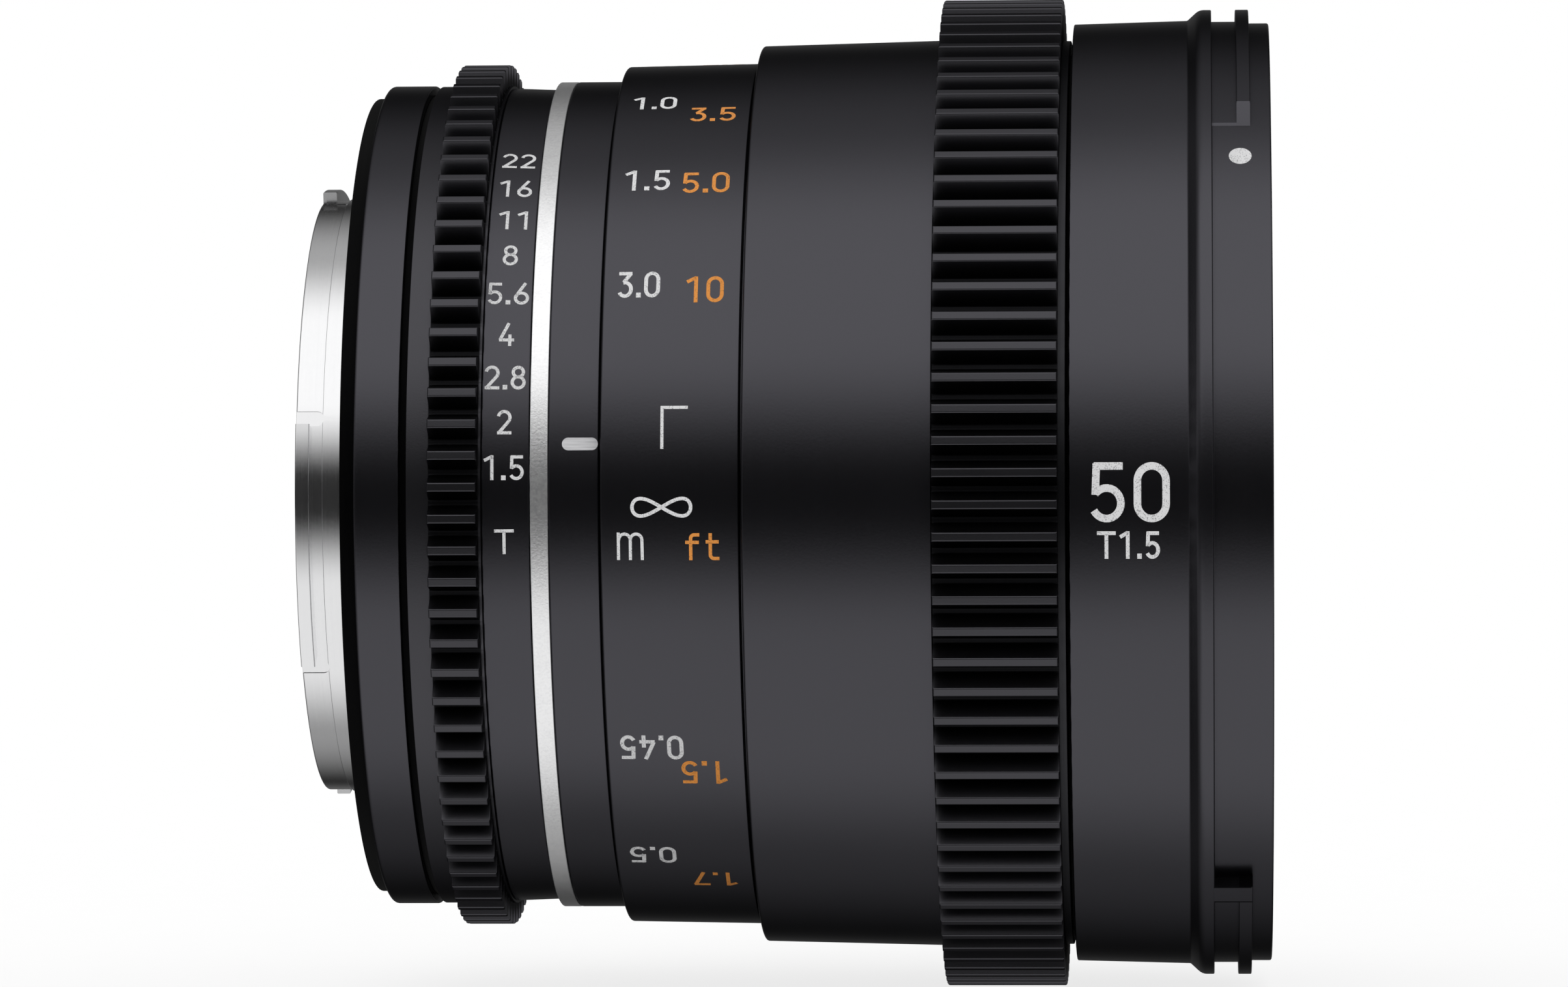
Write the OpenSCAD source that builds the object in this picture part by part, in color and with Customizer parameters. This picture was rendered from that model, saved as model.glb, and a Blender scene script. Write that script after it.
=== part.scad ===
// Manual cinema prime lens with a geared focus ring and a geared aperture ring.
// Every piece is drawn along Z from the mount flange and then laid along X, front towards +X.

/* [Glass and iris] */
// Half width of the front glass
front_glass_r = 23.5; // [21.5:0.1:25.5]
// Half width of the glass behind the iris
rear_glass_r = 16; // [14.5:0.1:17.5]
// Clear half width of the open iris
stop_r = 13.4; // [12:0.1:14.4]
// Smallest half width the iris closes to
stop_min_r = 0.92; // [0.5:0.01:2.5]
// Thickness of one iris blade
blade_t = 0.1; // [0.06:0.01:0.14]
// Air between two blades
blade_gap = 0.04; // [0.03:0.01:0.08]

/* [Movement] */
// Turn of the focus ring from far to near, degrees
focus_throw = 138; // [90:1:150]
// Forward travel of the optical cell from far to near
focus_travel = 7.3; // [4:0.1:9]
// Turn of the aperture ring from its widest to its smallest stop, degrees
aperture_throw = 49.65; // [40:0.05:55]
// Turn from the widest stop to where the ring rests, degrees
aperture_rest = 3.25; // [0:0.05:12]
// Radial play of each turning or sliding fit
run_gap = 0.05; // [0.03:0.01:0.09]
// Radial play of each seated fit
fit = 0.05; // [0.02:0.01:0.08]

/* [Gears] */
// Pitch of both gears as a module
gear_module = 0.8; // [0.6:0.1:1]
// Face width of the focus gear
focus_gear_w = 10; // [7:0.1:13]
// Face width of the aperture gear
aperture_gear_w = 3.95; // [3.4:0.05:6]
// Metal under the focus gear teeth
focus_rim = 1.65; // [1:0.05:3]
// Metal under the aperture gear teeth
aperture_rim = 0.65; // [0.5:0.05:1.5]
// Rounding of the gear ends
gear_round = 0.4; // [0.1:0.05:0.7]

/* [Walls] */
// Wall of the front group barrel
group_wall = 3.45; // [2.6:0.05:4.5]
// Wall of the sliding sleeve
sleeve_wall = 3.35; // [2.6:0.05:4.5]
// Wall of the helicoid ring
helicoid_wall = 1.45; // [1.2:0.05:2.5]
// Wall of the main tube at the focus journal
tube_wall = 2; // [1.8:0.05:3.5]
// Step from the focus journal down to the aperture journal
journal_step = 1.45; // [1:0.05:1.8]
// Wall of the aperture ring under its gear
aperture_wall = 1.3; // [1:0.05:2.5]
// Height of the aperture scale above the gear seat
aperture_lip = 0.52; // [0.3:0.02:1.2]
// Wall of the trim ring and the index barrel
index_wall = 1.45; // [1:0.05:2.5]
// Wall of the rear shell
shell_wall = 2.05; // [1.9:0.05:3.5]
// Wall of the distance scale ring
scale_wall = 2.12; // [1.8:0.02:3]
// Wall of the focus barrel at its rear
focus_wall = 3.8; // [3.2:0.05:5]
// Wall round the filter thread
nose_wall = 1.4; // [1:0.05:2.5]

/* [Rear end] */
// Outside diameter of the bayonet barrel
bayonet_d = 50.3; // [47:0.1:52]
// Wall of the bayonet barrel
bayonet_wall = 2.1; // [1.4:0.05:2.6]
// Length of the bayonet behind the flange
bayonet_len = 4.9; // [3.8:0.1:6]
// How far the bayonet tabs stand out
tab_reach = 0.95; // [0.6:0.05:1.5]
// Thickness of a tab along the axis
tab_w = 1.15; // [0.7:0.05:1.4]
// Width of a tab round the axis, degrees
tab_angle = 46; // [35:1:60]
// Thickness of the mount flange
flange_t = 1.8; // [1.4:0.05:2.2]
// Length of the rear shell
shell_w = 4.56; // [4.2:0.02:7]
// How far the rear shell's lip stands behind the flange
lip_h = 0.35; // [0.2:0.05:0.6]
// Step from the lip up to the rear shell
shell_step = 1.05; // [0.4:0.05:1.2]
// Dark gap ahead of the rear shell
ring_gap = 0.59; // [0.4:0.01:1]

/* [Rings along the axis] */
// Plain band behind the aperture gear
aperture_band_w = 1.85; // [1:0.05:3]
// Aperture scale ahead of the gear
aperture_scale_w = 3.9; // [3:0.05:6]
// Bright trim ring
trim_w = 1.45; // [1:0.05:2.5]
// Index barrel
index_w = 4.13; // [3.5:0.02:7]
// Distance scale ring
scale_w = 11.18; // [9:0.02:14]
// Grip of the focus barrel behind its gear
grip_w = 15.31; // [12:0.01:19]
// Neck of the focus barrel ahead of its gear
focus_lip_w = 0.65; // [0.4:0.05:1.5]
// Play between two rings end to end
side_gap = 0.1; // [0.08:0.01:0.25]

/* [Front end] */
// Nominal diameter of the filter thread
filter_d = 77; // [76:1:86]
// Depth of the filter thread
filter_w = 4.7; // [3.5:0.1:6.5]
// Front barrel up to the hood ridge
front_w = 9.5; // [8.5:0.1:14]
// Hood ridge with its slope
ridge_w = 2; // [1.6:0.1:3]
// Slot for the hood's lugs
hood_slot_w = 2; // [1.4:0.1:3]
// Hood rail
rail_w = 1.1; // [0.8:0.1:2]
// Nose ahead of the rail
nose_w = 1.7; // [1:0.1:3]
// Height of the ridge and the rails above the nose
ridge_h = 1.15; // [0.6:0.05:2]

/* [Hidden] */
$fn = 144;
blade_count = 9;
blade_step = 360 / blade_count;
// Height angles: upper end of each bayonet tab, one tooth of each gear, way in to the hood rails
tab_tops = [13, 126, -100];
aperture_tooth_at = 0.95;
focus_tooth_at = -1.31;
ramp_foot = 48.7;
ramp_top = 51.3;
rail_end = 127.8;

// Radii from the glass outwards
group_r = front_glass_r + fit + group_wall;
sleeve_in = group_r + fit;
sleeve_r = sleeve_in + sleeve_wall;
helicoid_in = sleeve_r + run_gap;
helicoid_r = helicoid_in + helicoid_wall;
tube_in = helicoid_r + 2 * run_gap;
tube_r = tube_in + tube_wall;
guide_in = sleeve_r + 0.2;
journal_r = tube_r - journal_step;
index_seat_r = tube_r - 0.4 * journal_step;
cell_screw_r = (sleeve_in + sleeve_r) / 2;
front_screw_r = (tube_in + tube_r) / 2;

aperture_bore = journal_r + run_gap;
aperture_seat = aperture_bore + aperture_wall;
aperture_scale_r = aperture_seat + aperture_lip;
aperture_gear_bore = aperture_seat + fit;
aperture_teeth = ceil(2 * (aperture_gear_bore + aperture_rim) / gear_module + 2.4);
aperture_pitch_r = gear_module * aperture_teeth / 2;
aperture_band_r = aperture_pitch_r - 1.25 * gear_module;

index_bore = index_seat_r + fit;
index_r = index_bore + index_wall;
shell_bore = journal_r + fit;
shell_r = shell_bore + shell_wall;
lip_r = shell_r - shell_step;
flange_r = lip_r - 1.6;
mount_screw_r = flange_r - 2.7;
web_in = mount_screw_r - 1.8;
bayonet_r = bayonet_d / 2;
bayonet_in = bayonet_r - bayonet_wall;

focus_bore = tube_r + run_gap;
scale_r = focus_bore + scale_wall;
spigot_r = focus_bore + 0.55 * scale_wall;
focus_r = focus_bore + focus_wall;
grip_r = focus_r + 0.37;
focus_seat = grip_r - 0.12;
focus_gear_bore = focus_seat + fit;
focus_teeth = ceil(2 * (focus_gear_bore + focus_rim) / gear_module + 2.4);
focus_pitch_r = gear_module * focus_teeth / 2;

thread_r = filter_d / 2 - 0.4;
front_bore = thread_r - 1.5;
bezel_r = front_bore - 0.4;
nose_r = thread_r + nose_wall;
front_r = nose_r + 0.25;
ridge_r = nose_r + ridge_h;
slot_floor_r = nose_r + 0.15;

// Stations along the axis from the flange
z_web = flange_t + 1.2;
z_ap = shell_w + ring_gap;
z_ap_gear = z_ap + aperture_band_w;
z_ap_gear_end = z_ap_gear + aperture_gear_w;
z_ap_scale = z_ap_gear_end + 0.25;
z_ap_end = z_ap_scale + aperture_scale_w;
z_trim = z_ap_end + side_gap;
z_index = z_trim + trim_w;
z_index_end = z_index + index_w;
z_scale = z_index_end + side_gap + 0.07;
z_scale_end = z_scale + scale_w;
z_focus = z_scale_end + 0.26;
z_gear = z_focus + grip_w;
z_gear_end = z_gear + focus_gear_w;
z_focus_end = z_gear_end + focus_lip_w;
z_front = z_focus_end + 2.5 * side_gap;
z_ridge = z_front + front_w;
z_ridge_end = z_ridge + ridge_w;
z_rail = z_ridge_end + hood_slot_w;
z_rail_end = z_rail + rail_w;
z_nose = z_rail_end + nose_w;
z_thread = z_nose - filter_w;
z_flange_in = z_front + 1.4;

// Helicoid, sleeve and drive
z_ret_end = z_front - 0.1;
z_ret = z_ret_end - 2.4;
z_hel_end = z_ret - 0.05;
z_hel = z_hel_end - 18;
z_sleeve_end = z_front - 1.6;
z_sleeve = z_sleeve_end - 18.5;
key_w = min(3.6, focus_gear_w - 3);
z_key = (z_gear + z_gear_end - key_w) / 2;
key_h = 5;
key_at = [20, 200];
z_lever = z_ap_gear + 0.4;
lever_w = aperture_gear_w - 0.95;
lever_h = 4;
lever_at = 247;
guide_at = [90, 210, 330];
guide_h = 3;

// Iris, laid out back from the rear of the sleeve
cam_t = 1;
base_t = 1.2;
level = blade_t + blade_gap;
z_iris = z_sleeve - focus_travel - base_t - 0.1 - blade_count * level - 0.19 - cam_t - 0.45;
z_stop = z_iris + base_t;
z_cam = z_stop + 0.1 + blade_count * level + 0.19;
z_cover = z_cam + cam_t + 0.25;
z_cover_end = z_cover + 1;
housing_r = sleeve_r - 1.1;
housing_in = housing_r - 1.25;
cam_r = housing_in - 0.4;
pivot_r = housing_r - 5.3;
blade_in = stop_r + 0.2;
blade_out = pivot_r - 2.8;
pin_r = 0.45;
tail = 5.5;
swing = 2 * asin((blade_in - stop_min_r) / (2 * pivot_r));
swing_rest = swing * aperture_rest / aperture_throw;
lever_in = housing_r + 0.25;
lever_r = guide_in - 0.25;

// Glass: [first vertex ahead of the stop, thickness, first radius, second radius, half width], 0 for a flat
kf = front_glass_r / 23.5;
kr = rear_glass_r / 16;
glass = [
  [30.1, 5.8, 62 * kf, 0, front_glass_r],
  [23.9, 5, 38 * kf, 75 * kf, front_glass_r - 2],
  [17.8, 4.5, 30 * kf, 60 * kf, front_glass_r - 5],
  [13.27, 1.47, 60 * kf, 24 * kf, front_glass_r - 5],
  [-7, 1.5, -24 * kr, 80 * kr, rear_glass_r],
  [-8.53, 7, 80 * kr, -38 * kr, rear_glass_r],
  [-15.9, 5, 90 * kr, -55 * kr, rear_glass_r],
  [-20.93, 1.47, -55 * kr, 0, rear_glass_r],
  [-22.8, 3.2, 60 * kr, 0, rear_glass_r]
];
flat_w = 2.3;

// Drop of a glass surface at a distance from the axis, and its two surfaces along the axis
function sag(r, d) = r == 0 ? 0 : r - sign(r) * sqrt(r * r - d * d);
function first_z(i, d) = z_stop + glass[i][0] - sag(glass[i][2], d);
function second_z(i, d) = z_stop + glass[i][0] - glass[i][1] - sag(glass[i][3], d);
// A concave surface ends in a flat rim, a convex one runs out to the edge
function first_rim(i) = first_z(i, glass[i][4] - (glass[i][2] < 0 ? flat_w : 0));
function second_rim(i) = second_z(i, glass[i][4] - (glass[i][3] > 0 && glass[i][3] < 30 ? flat_w : 0));

z_seat4 = second_rim(3) - 0.03;
z_seat2 = second_rim(1) - 0.03;
z_seat1 = second_rim(0) - 0.03;
z_seat5 = first_rim(4) + 0.03;
z_rear = second_rim(8) - 1.2;
z_group_end = z_sleeve_end + 3.4;
rear_barrel_r = rear_glass_r + fit + 5;

// Quarter round on a section, from one angle to another
function arc(r, z, q, a, b) = [
  for (i = [0:5]) [r + q * cos(a + (b - a) * i / 5), z + q * sin(a + (b - a) * i / 5)]
];
// Angle round the axis of a point seen at this height angle from the near side
function near(height_angle) = 180 - height_angle;

module lay() {
  rotate([90, 0, 90]) children();
}

module turned(section) {
  rotate_extrude() polygon(section);
}

module tube(outer, inner, from, to) {
  turned([[inner, from], [outer, from], [outer, to], [inner, to]]);
}

// Part of a ring between two angles
module sector(outer, inner, from, to, a, b) {
  rotate([0, 0, a]) rotate_extrude(angle = b - a)
    polygon([[inner, from], [outer, from], [outer, to], [inner, to]]);
}

// Block that stands out radially at one angle, round on its inner and outer faces
module block(outer, inner, from, to, width, angle) {
  intersection() {
    tube(outer, inner, from, to);
    rotate([0, 0, angle]) translate([0, -width / 2, from - 1]) cube([outer + 1, width, to - from + 2]);
  }
}

module slab(outer, inner, from, to, width, angle) {
  rotate([0, 0, angle]) translate([inner, -width / 2, from]) cube([outer - inner, width, to - from]);
}

// Trapezoid teeth with straight flanks round a pitch circle
function tooth_points(teeth, pitch_r) = [
  for (i = [0:teeth - 1])
    let (root = pitch_r - 1.25 * gear_module, tip = pitch_r + gear_module)
    let (half = 90 / teeth, flank = gear_module * tan(20) * 180 / PI)
    for (c = [[root, -half - 1.25 * flank / root], [tip, -half + flank / tip],
              [tip, half - flank / tip], [root, half + 1.25 * flank / root]])
      [c[0] * cos(360 * i / teeth + c[1]), c[0] * sin(360 * i / teeth + c[1])]
];

// Teeth with the corners of both ends taken off
module teeth_ring(teeth, pitch_r, from, to, tooth_at) {
  tip = pitch_r + gear_module;
  intersection() {
    translate([0, 0, from]) rotate([0, 0, near(tooth_at)]) linear_extrude(to - from)
      polygon(tooth_points(teeth, pitch_r));
    turned([
      [0, from],
      [tip - gear_round, from],
      [tip + 0.01, from + gear_round],
      [tip + 0.01, to - gear_round],
      [tip - gear_round, to],
      [0, to]
    ]);
  }
}

module bore_out(r, from, to) {
  translate([0, 0, from]) cylinder(r = r, h = to - from);
}

// Screw along the axis with a flat head let into the surface at one end
module axial_screw(circle, angle, head_z, tip_z, shank, head, grow) {
  dir = tip_z > head_z ? 1 : -1;
  rotate([0, 0, angle]) translate([circle, 0, head_z]) mirror([0, 0, dir > 0 ? 0 : 1]) {
    cylinder(r = shank + grow, h = abs(tip_z - head_z) + grow);
    cylinder(r1 = head + grow, r2 = shank + grow, h = head - shank + grow);
  }
}

// Circle of a glass surface that meets the axis at a vertex
module ball(vertex, r) {
  translate([0, vertex - r]) circle(r = abs(r), $fn = 720);
}

module glass_section(i) {
  half = glass[i][4];
  v1 = z_stop + glass[i][0];
  v2 = v1 - glass[i][1];
  r1 = glass[i][2];
  r2 = glass[i][3];
  low = r2 < 0 ? v2 - 1 : second_rim(i);
  high = r1 > 0 ? v1 + 1 : first_rim(i);
  difference() {
    intersection() {
      translate([0, low]) square([half, high - low]);
      if (r1 > 0) ball(v1, r1);
      if (r2 < 0) ball(v2, r2);
    }
    if (r1 < 0) ball(v1, r1);
    if (r2 > 0) ball(v2, r2);
  }
}

// Place of a blade's tail pin at a share of the swing, seen from the turning cam ring
function tail_turn(s) = -90 - swing / 2 + swing * s;
function ring_turn(s) = aperture_throw * s - aperture_rest;
function turn_by(p, a) = [p[0] * cos(a) - p[1] * sin(a), p[0] * sin(a) + p[1] * cos(a)];
function tail_pin(s) = [pivot_r + tail * cos(tail_turn(s)), tail * sin(tail_turn(s))];
function cam_path(s) = turn_by(tail_pin(s), -ring_turn(s));
function cam_side(s, w) =
  let (d = cam_path(s + 0.01) - cam_path(s - 0.01))
  cam_path(s) + w * [-d[1], d[0]] / norm(d);

module cam_slot() {
  half = pin_r + 0.07;
  polygon(concat(
    [for (i = [0:14]) cam_side(i / 14, half)],
    [for (i = [14:-1:0]) cam_side(i / 14, -half)]
  ));
  translate(cam_path(0)) circle(r = half);
  translate(cam_path(1)) circle(r = half);
}

module bayonet_mount() {
  step_z = -min(2.7, bayonet_len - tab_w - 0.6);
  color("silver") difference() {
    union() {
      turned(concat(
        [[bayonet_in, flange_t], [bayonet_in, -bayonet_len], [bayonet_r - 0.6, -bayonet_len]],
        [[bayonet_r - 0.15, 0.45 - bayonet_len], [bayonet_r - 0.15, step_z], [bayonet_r, step_z]],
        [[bayonet_r, 0], [flange_r, 0], [flange_r, flange_t]]
      ));
      for (top = tab_tops)
        sector(bayonet_r - 0.15 + tab_reach, bayonet_in + 0.5, 0.05 - bayonet_len,
          0.05 + tab_w - bayonet_len, near(top), near(top - tab_angle));
    }
    for (i = [0:3]) axial_screw(mount_screw_r, 45 + 90 * i, 0, z_web, 0.75, 1.4, 0.05);
    rotate([0, 0, 100]) translate([mount_screw_r, 0, -1]) cylinder(r = 1.1, h = flange_t + 2);
    for (top = tab_tops)
      for (a = [near(top) - 1.5, near(top - tab_angle) + 1.5])
        rotate([0, 0, a]) translate([bayonet_r - 0.32, 0, step_z - 0.5]) rotate([0, 90, 0]) {
          cylinder(r = 0.62, h = 3);
          translate([0, -0.62, 0]) cube([bayonet_len, 1.24, 3]);
        }
  }
}

module mount_screws() {
  color("dimgray") for (i = [0:3]) axial_screw(mount_screw_r, 45 + 90 * i, 0.02, z_web + 1.8, 0.75, 1.38, 0);
}

module rear_baffle() {
  outer = bayonet_in - fit;
  color("black") turned([
    [outer - 3.2, 0.3 - bayonet_len],
    [outer, 0.3 - bayonet_len],
    [outer, flange_t - 0.6],
    [outer - 0.9, flange_t - 0.6],
    [outer - 1.2, 1.5 - bayonet_len],
    [outer - 3.2, 1.1 - bayonet_len]
  ]);
}

module rear_shell() {
  color("#26272a") difference() {
    turned(concat(
      [[web_in, z_web], [web_in, flange_t], [flange_r + fit, flange_t], [flange_r + fit, -lip_h]],
      [[lip_r - 0.25, -lip_h], [lip_r, 0.25 - lip_h], [lip_r, 0.85]],
      arc(shell_r - 0.4, 1.25, 0.4, -90, 0),
      [[shell_r, shell_w - 0.15], [shell_r - 0.15, shell_w], [shell_bore, shell_w], [shell_bore, z_web]]
    ));
    for (i = [0:3]) rotate([0, 0, 45 + 90 * i]) translate([mount_screw_r, 0, 1]) cylinder(r = 0.85, h = 4);
  }
}

module main_tube() {
  half = asin((key_h / 2 + 0.5) / tube_in);
  post = asin((lever_h / 2 + 0.6) / guide_in);
  color("dimgray") difference() {
    turned([
      [web_in, z_web],
      [web_in, z_web + 2.2],
      [guide_in, z_web + 2.2],
      [guide_in, z_hel - 0.1],
      [tube_in, z_hel - 0.1],
      [tube_in, z_front],
      [tube_r, z_front],
      [tube_r, z_index_end],
      [index_seat_r, z_index_end],
      [index_seat_r, z_ap_end + 0.5 * side_gap],
      [journal_r, z_ap_end + 0.5 * side_gap],
      [journal_r, z_web]
    ]);
    for (i = [0:3])
      rotate([0, 0, 45 + 90 * i]) translate([mount_screw_r, 0, z_web - 1]) cylinder(r = 0.8, h = 2.95);
    for (a = guide_at) slab(guide_in + 1, guide_in - 1, z_iris - 0.3, z_hel, guide_h + 0.08, a);
    for (a = key_at)
      sector(tube_r + 1, tube_in - 1, z_key - 0.4, z_key + key_w + 0.4, a - half, a + focus_throw + half);
    sector(journal_r + 1, guide_in - 1, z_lever - 0.4, z_lever + lever_w + 0.4,
      lever_at - aperture_rest - post, lever_at - aperture_rest + aperture_throw + post);
    for (i = [0:5])
      rotate([0, 0, 60 * i]) translate([front_screw_r, 0, z_front - 2.6]) cylinder(r = 0.55, h = 3);
  }
}

module aperture_washer() {
  color("black") tube(aperture_band_r - 0.7, shell_bore, shell_w + 0.03, z_ap - 0.05);
}

module trim_ring() {
  color("silver") turned([
    [index_bore, z_trim],
    [index_r - 0.1, z_trim],
    [index_r, z_trim + 0.1],
    [index_r, z_index - 0.1],
    [index_r - 0.1, z_index],
    [index_bore, z_index]
  ]);
}

module index_mark_shape(grow) {
  half = 0.515 + grow;
  length = min(2.9, index_w - 1);
  for (i = [0, 1])
    rotate([0, 0, near(6.65) + 180 * i]) translate([index_r - 0.5 - grow, 0, z_index_end - 0.08 - length / 2])
      rotate([0, 90, 0]) linear_extrude(2) {
        square([length - 2 * half + 2 * grow, 2 * half], center = true);
        translate([length / 2 - half + grow, 0]) circle(r = half);
        translate([half - length / 2 - grow, 0]) circle(r = half);
      }
}

module index_barrel() {
  color("#26272a") difference() {
    turned([
      [index_bore, z_index],
      [index_r - 0.14, z_index],
      [index_r, z_index + 0.14],
      [index_r, z_index_end - 0.12],
      [index_r - 0.12, z_index_end],
      [index_bore, z_index_end]
    ]);
    index_mark_shape(0.03);
  }
}

module index_marks() {
  color("white", $fn = 720) intersection() {
    index_mark_shape(0);
    tube(index_r - 0.02, index_bore, z_index, z_index_end);
  }
}

module rear_thrust_washer() {
  color("ivory") tube(index_r - 0.2, tube_r + 0.02, z_index_end, z_scale - 0.05);
}

module aperture_ring() {
  color("#26272a") difference() {
    turned([
      [aperture_bore, z_ap],
      [aperture_seat, z_ap],
      [aperture_seat, z_ap_scale],
      [aperture_scale_r - 0.12, z_ap_scale],
      [aperture_scale_r, z_ap_scale + 0.12],
      [aperture_scale_r - 0.15, z_ap_end - 0.12],
      [aperture_scale_r - 0.27, z_ap_end],
      [aperture_bore, z_ap_end]
    ]);
    slab(aperture_seat + 1, aperture_bore - 1, z_lever - fit, z_lever + lever_w + fit,
      lever_h + 2 * fit, lever_at);
  }
}

module aperture_gear() {
  color("#1b1b1d") difference() {
    union() {
      turned([
        [aperture_gear_bore - 0.5, z_ap],
        [aperture_band_r - 0.15, z_ap],
        [aperture_band_r, z_ap + 0.15],
        [aperture_band_r, z_ap_scale],
        [aperture_gear_bore - 0.5, z_ap_scale]
      ]);
      teeth_ring(aperture_teeth, aperture_pitch_r, z_ap_gear, z_ap_gear_end, aperture_tooth_at);
    }
    bore_out(aperture_gear_bore, z_ap - 1, z_ap_scale + 1);
  }
}

module aperture_lever() {
  color("tan") {
    block(aperture_seat - 0.05, lever_in, z_lever, z_lever + lever_w, lever_h, lever_at);
    block(lever_r, lever_in, z_lever, z_sleeve - 0.3, lever_h, lever_at);
  }
}

module distance_scale_ring() {
  q = min(0.3, scale_wall - 1);
  color("#26272a") turned(concat(
    [[focus_bore, z_scale]],
    arc(scale_r - q, z_scale + q, q, -90, 0),
    [[scale_r + 0.2, z_scale_end - 0.1], [scale_r + 0.1, z_scale_end], [spigot_r, z_scale_end]],
    [[spigot_r, z_scale_end + 1.8], [focus_bore, z_scale_end + 1.8]]
  ));
}

module focus_barrel() {
  color("#26272a") difference() {
    turned(concat(
      [[focus_bore, z_scale_end + 1.9], [spigot_r + fit, z_scale_end + 1.9], [spigot_r + fit, z_focus]],
      arc(focus_r - 0.3, z_focus + 0.3, 0.3, -90, 0),
      [[grip_r, z_gear - 0.25], [focus_seat, z_gear - 0.1], [focus_seat, z_focus_end - 0.1]],
      [[focus_seat - 0.1, z_focus_end], [focus_bore, z_focus_end]]
    ));
    for (a = key_at) slab(focus_seat + 1, focus_bore - 1, z_key - fit, z_key + key_w + fit, key_h + 2 * fit, a);
  }
}

module focus_gear() {
  color("#1b1b1d") difference() {
    teeth_ring(focus_teeth, focus_pitch_r, z_gear, z_gear_end, focus_tooth_at);
    bore_out(focus_gear_bore, z_gear - 1, z_gear_end + 1);
  }
}

module drive_keys() {
  color("tan") for (a = key_at) block(focus_seat - 0.05, helicoid_in + 0.45, z_key, z_key + key_w, key_h, a);
}

module helicoid_ring() {
  color("goldenrod") difference() {
    tube(helicoid_r, helicoid_in, z_hel, z_hel_end);
    for (a = key_at)
      difference() {
        slab(helicoid_r + 1, helicoid_in - 1, z_key - fit, z_key + key_w + fit, key_h + 2 * fit, a);
        bore_out(helicoid_in + 0.4, z_key - 1, z_key + key_w + 1);
      }
  }
}

module helicoid_retainer() {
  color("dimgray") tube(tube_in - fit, sleeve_r + 0.2, z_ret, z_ret_end);
}

module front_thrust_washer() {
  color("ivory") tube(focus_seat - 1.2, tube_r + 0.1, z_focus_end + 0.05, z_front);
}

// Hood rail with a sloped way in, and a stop that closes the slot at its other end
module hood_rail() {
  sector(slot_floor_r, nose_r - 1, z_ridge_end - 0.1, z_rail_end, near(rail_end), near(ramp_foot + 0.2));
  sector(ridge_r, nose_r - 1, z_rail, z_rail_end, near(rail_end), near(ramp_top));
  sector(ridge_r, nose_r - 1, z_ridge_end - 0.1, z_rail_end, near(rail_end), near(rail_end - 3.2));
  intersection() {
    sector(ridge_r - 0.1, nose_r - 1, z_rail + 0.02, z_rail_end - 0.02, near(ramp_top + 1.5), near(ramp_foot - 1.5));
    rotate([0, 0, near(ramp_foot - 0.3)]) translate([nose_r, 0, z_rail - 1]) rotate([0, 0, -60])
      translate([-6, -9, 0]) cube([12, 9, rail_w + 2]);
  }
}

module front_barrel() {
  color("#26272a") difference() {
    union() {
      turned([
        [sleeve_r + 0.9, z_front],
        [nose_r - 0.12, z_front],
        [nose_r, z_front + 0.12],
        [front_r, z_ridge],
        [ridge_r - 0.15, z_ridge + 0.5 * ridge_w],
        [ridge_r, z_ridge + 0.6 * ridge_w],
        [ridge_r, z_ridge_end - 0.08],
        [ridge_r - 0.08, z_ridge_end],
        [nose_r, z_ridge_end],
        [nose_r, z_nose - 0.2],
        [nose_r - 0.2, z_nose],
        [thread_r + 0.35, z_nose],
        [thread_r, z_nose - 0.35],
        [thread_r, z_thread],
        [front_bore, z_thread],
        [front_bore, z_flange_in],
        [sleeve_r + 0.9, z_flange_in]
      ]);
      for (i = [0, 1]) rotate([0, 0, 180 * i]) hood_rail();
    }
    for (i = [0:5]) axial_screw(front_screw_r, 60 * i, z_flange_in, z_front - 0.5, 0.5, 0.9, 0.05);
    bore_out(thread_r, z_thread, z_nose + 1);
  }
}

module front_screws() {
  color("dimgray") for (i = [0:5])
    axial_screw(front_screw_r, 60 * i, z_flange_in - 0.02, z_front - 2.2, 0.5, 0.88, 0);
}

module cell_sleeve() {
  color("goldenrod") difference() {
    tube(sleeve_r, sleeve_in, z_sleeve, z_sleeve_end);
    for (i = [0:2])
      rotate([0, 0, 30 + 120 * i]) translate([cell_screw_r, 0, z_sleeve_end - 3]) cylinder(r = 0.65, h = 4);
  }
}

module front_group_barrel() {
  s4 = glass[3][4] + fit;
  s2 = glass[1][4] + fit;
  s1 = glass[0][4] + fit;
  color("#1f2022") difference() {
    turned([
      [s4 - flat_w + 0.1, z_cover_end],
      [group_r, z_cover_end],
      [group_r, z_sleeve_end],
      [sleeve_r, z_sleeve_end],
      [sleeve_r, z_sleeve_end + 1.6],
      [group_r, z_sleeve_end + 1.6],
      [group_r, z_group_end],
      [s1 + 1.5, z_group_end],
      [s1, z_group_end - 1.5],
      [s1, z_seat1],
      [s2, z_seat1],
      [s2, z_seat2],
      [s4, z_seat2],
      [s4, z_seat4],
      [s4 - flat_w + 0.1, z_seat4]
    ]);
    for (i = [0:2])
      axial_screw(cell_screw_r, 30 + 120 * i, z_sleeve_end + 1.6, z_sleeve_end - 1, 0.6, 1.1, 0.05);
  }
}

module cell_screws() {
  color("dimgray") for (i = [0:2])
    axial_screw(cell_screw_r, 30 + 120 * i, z_sleeve_end + 1.58, z_sleeve_end - 2.6, 0.6, 1.08, 0);
}

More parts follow.
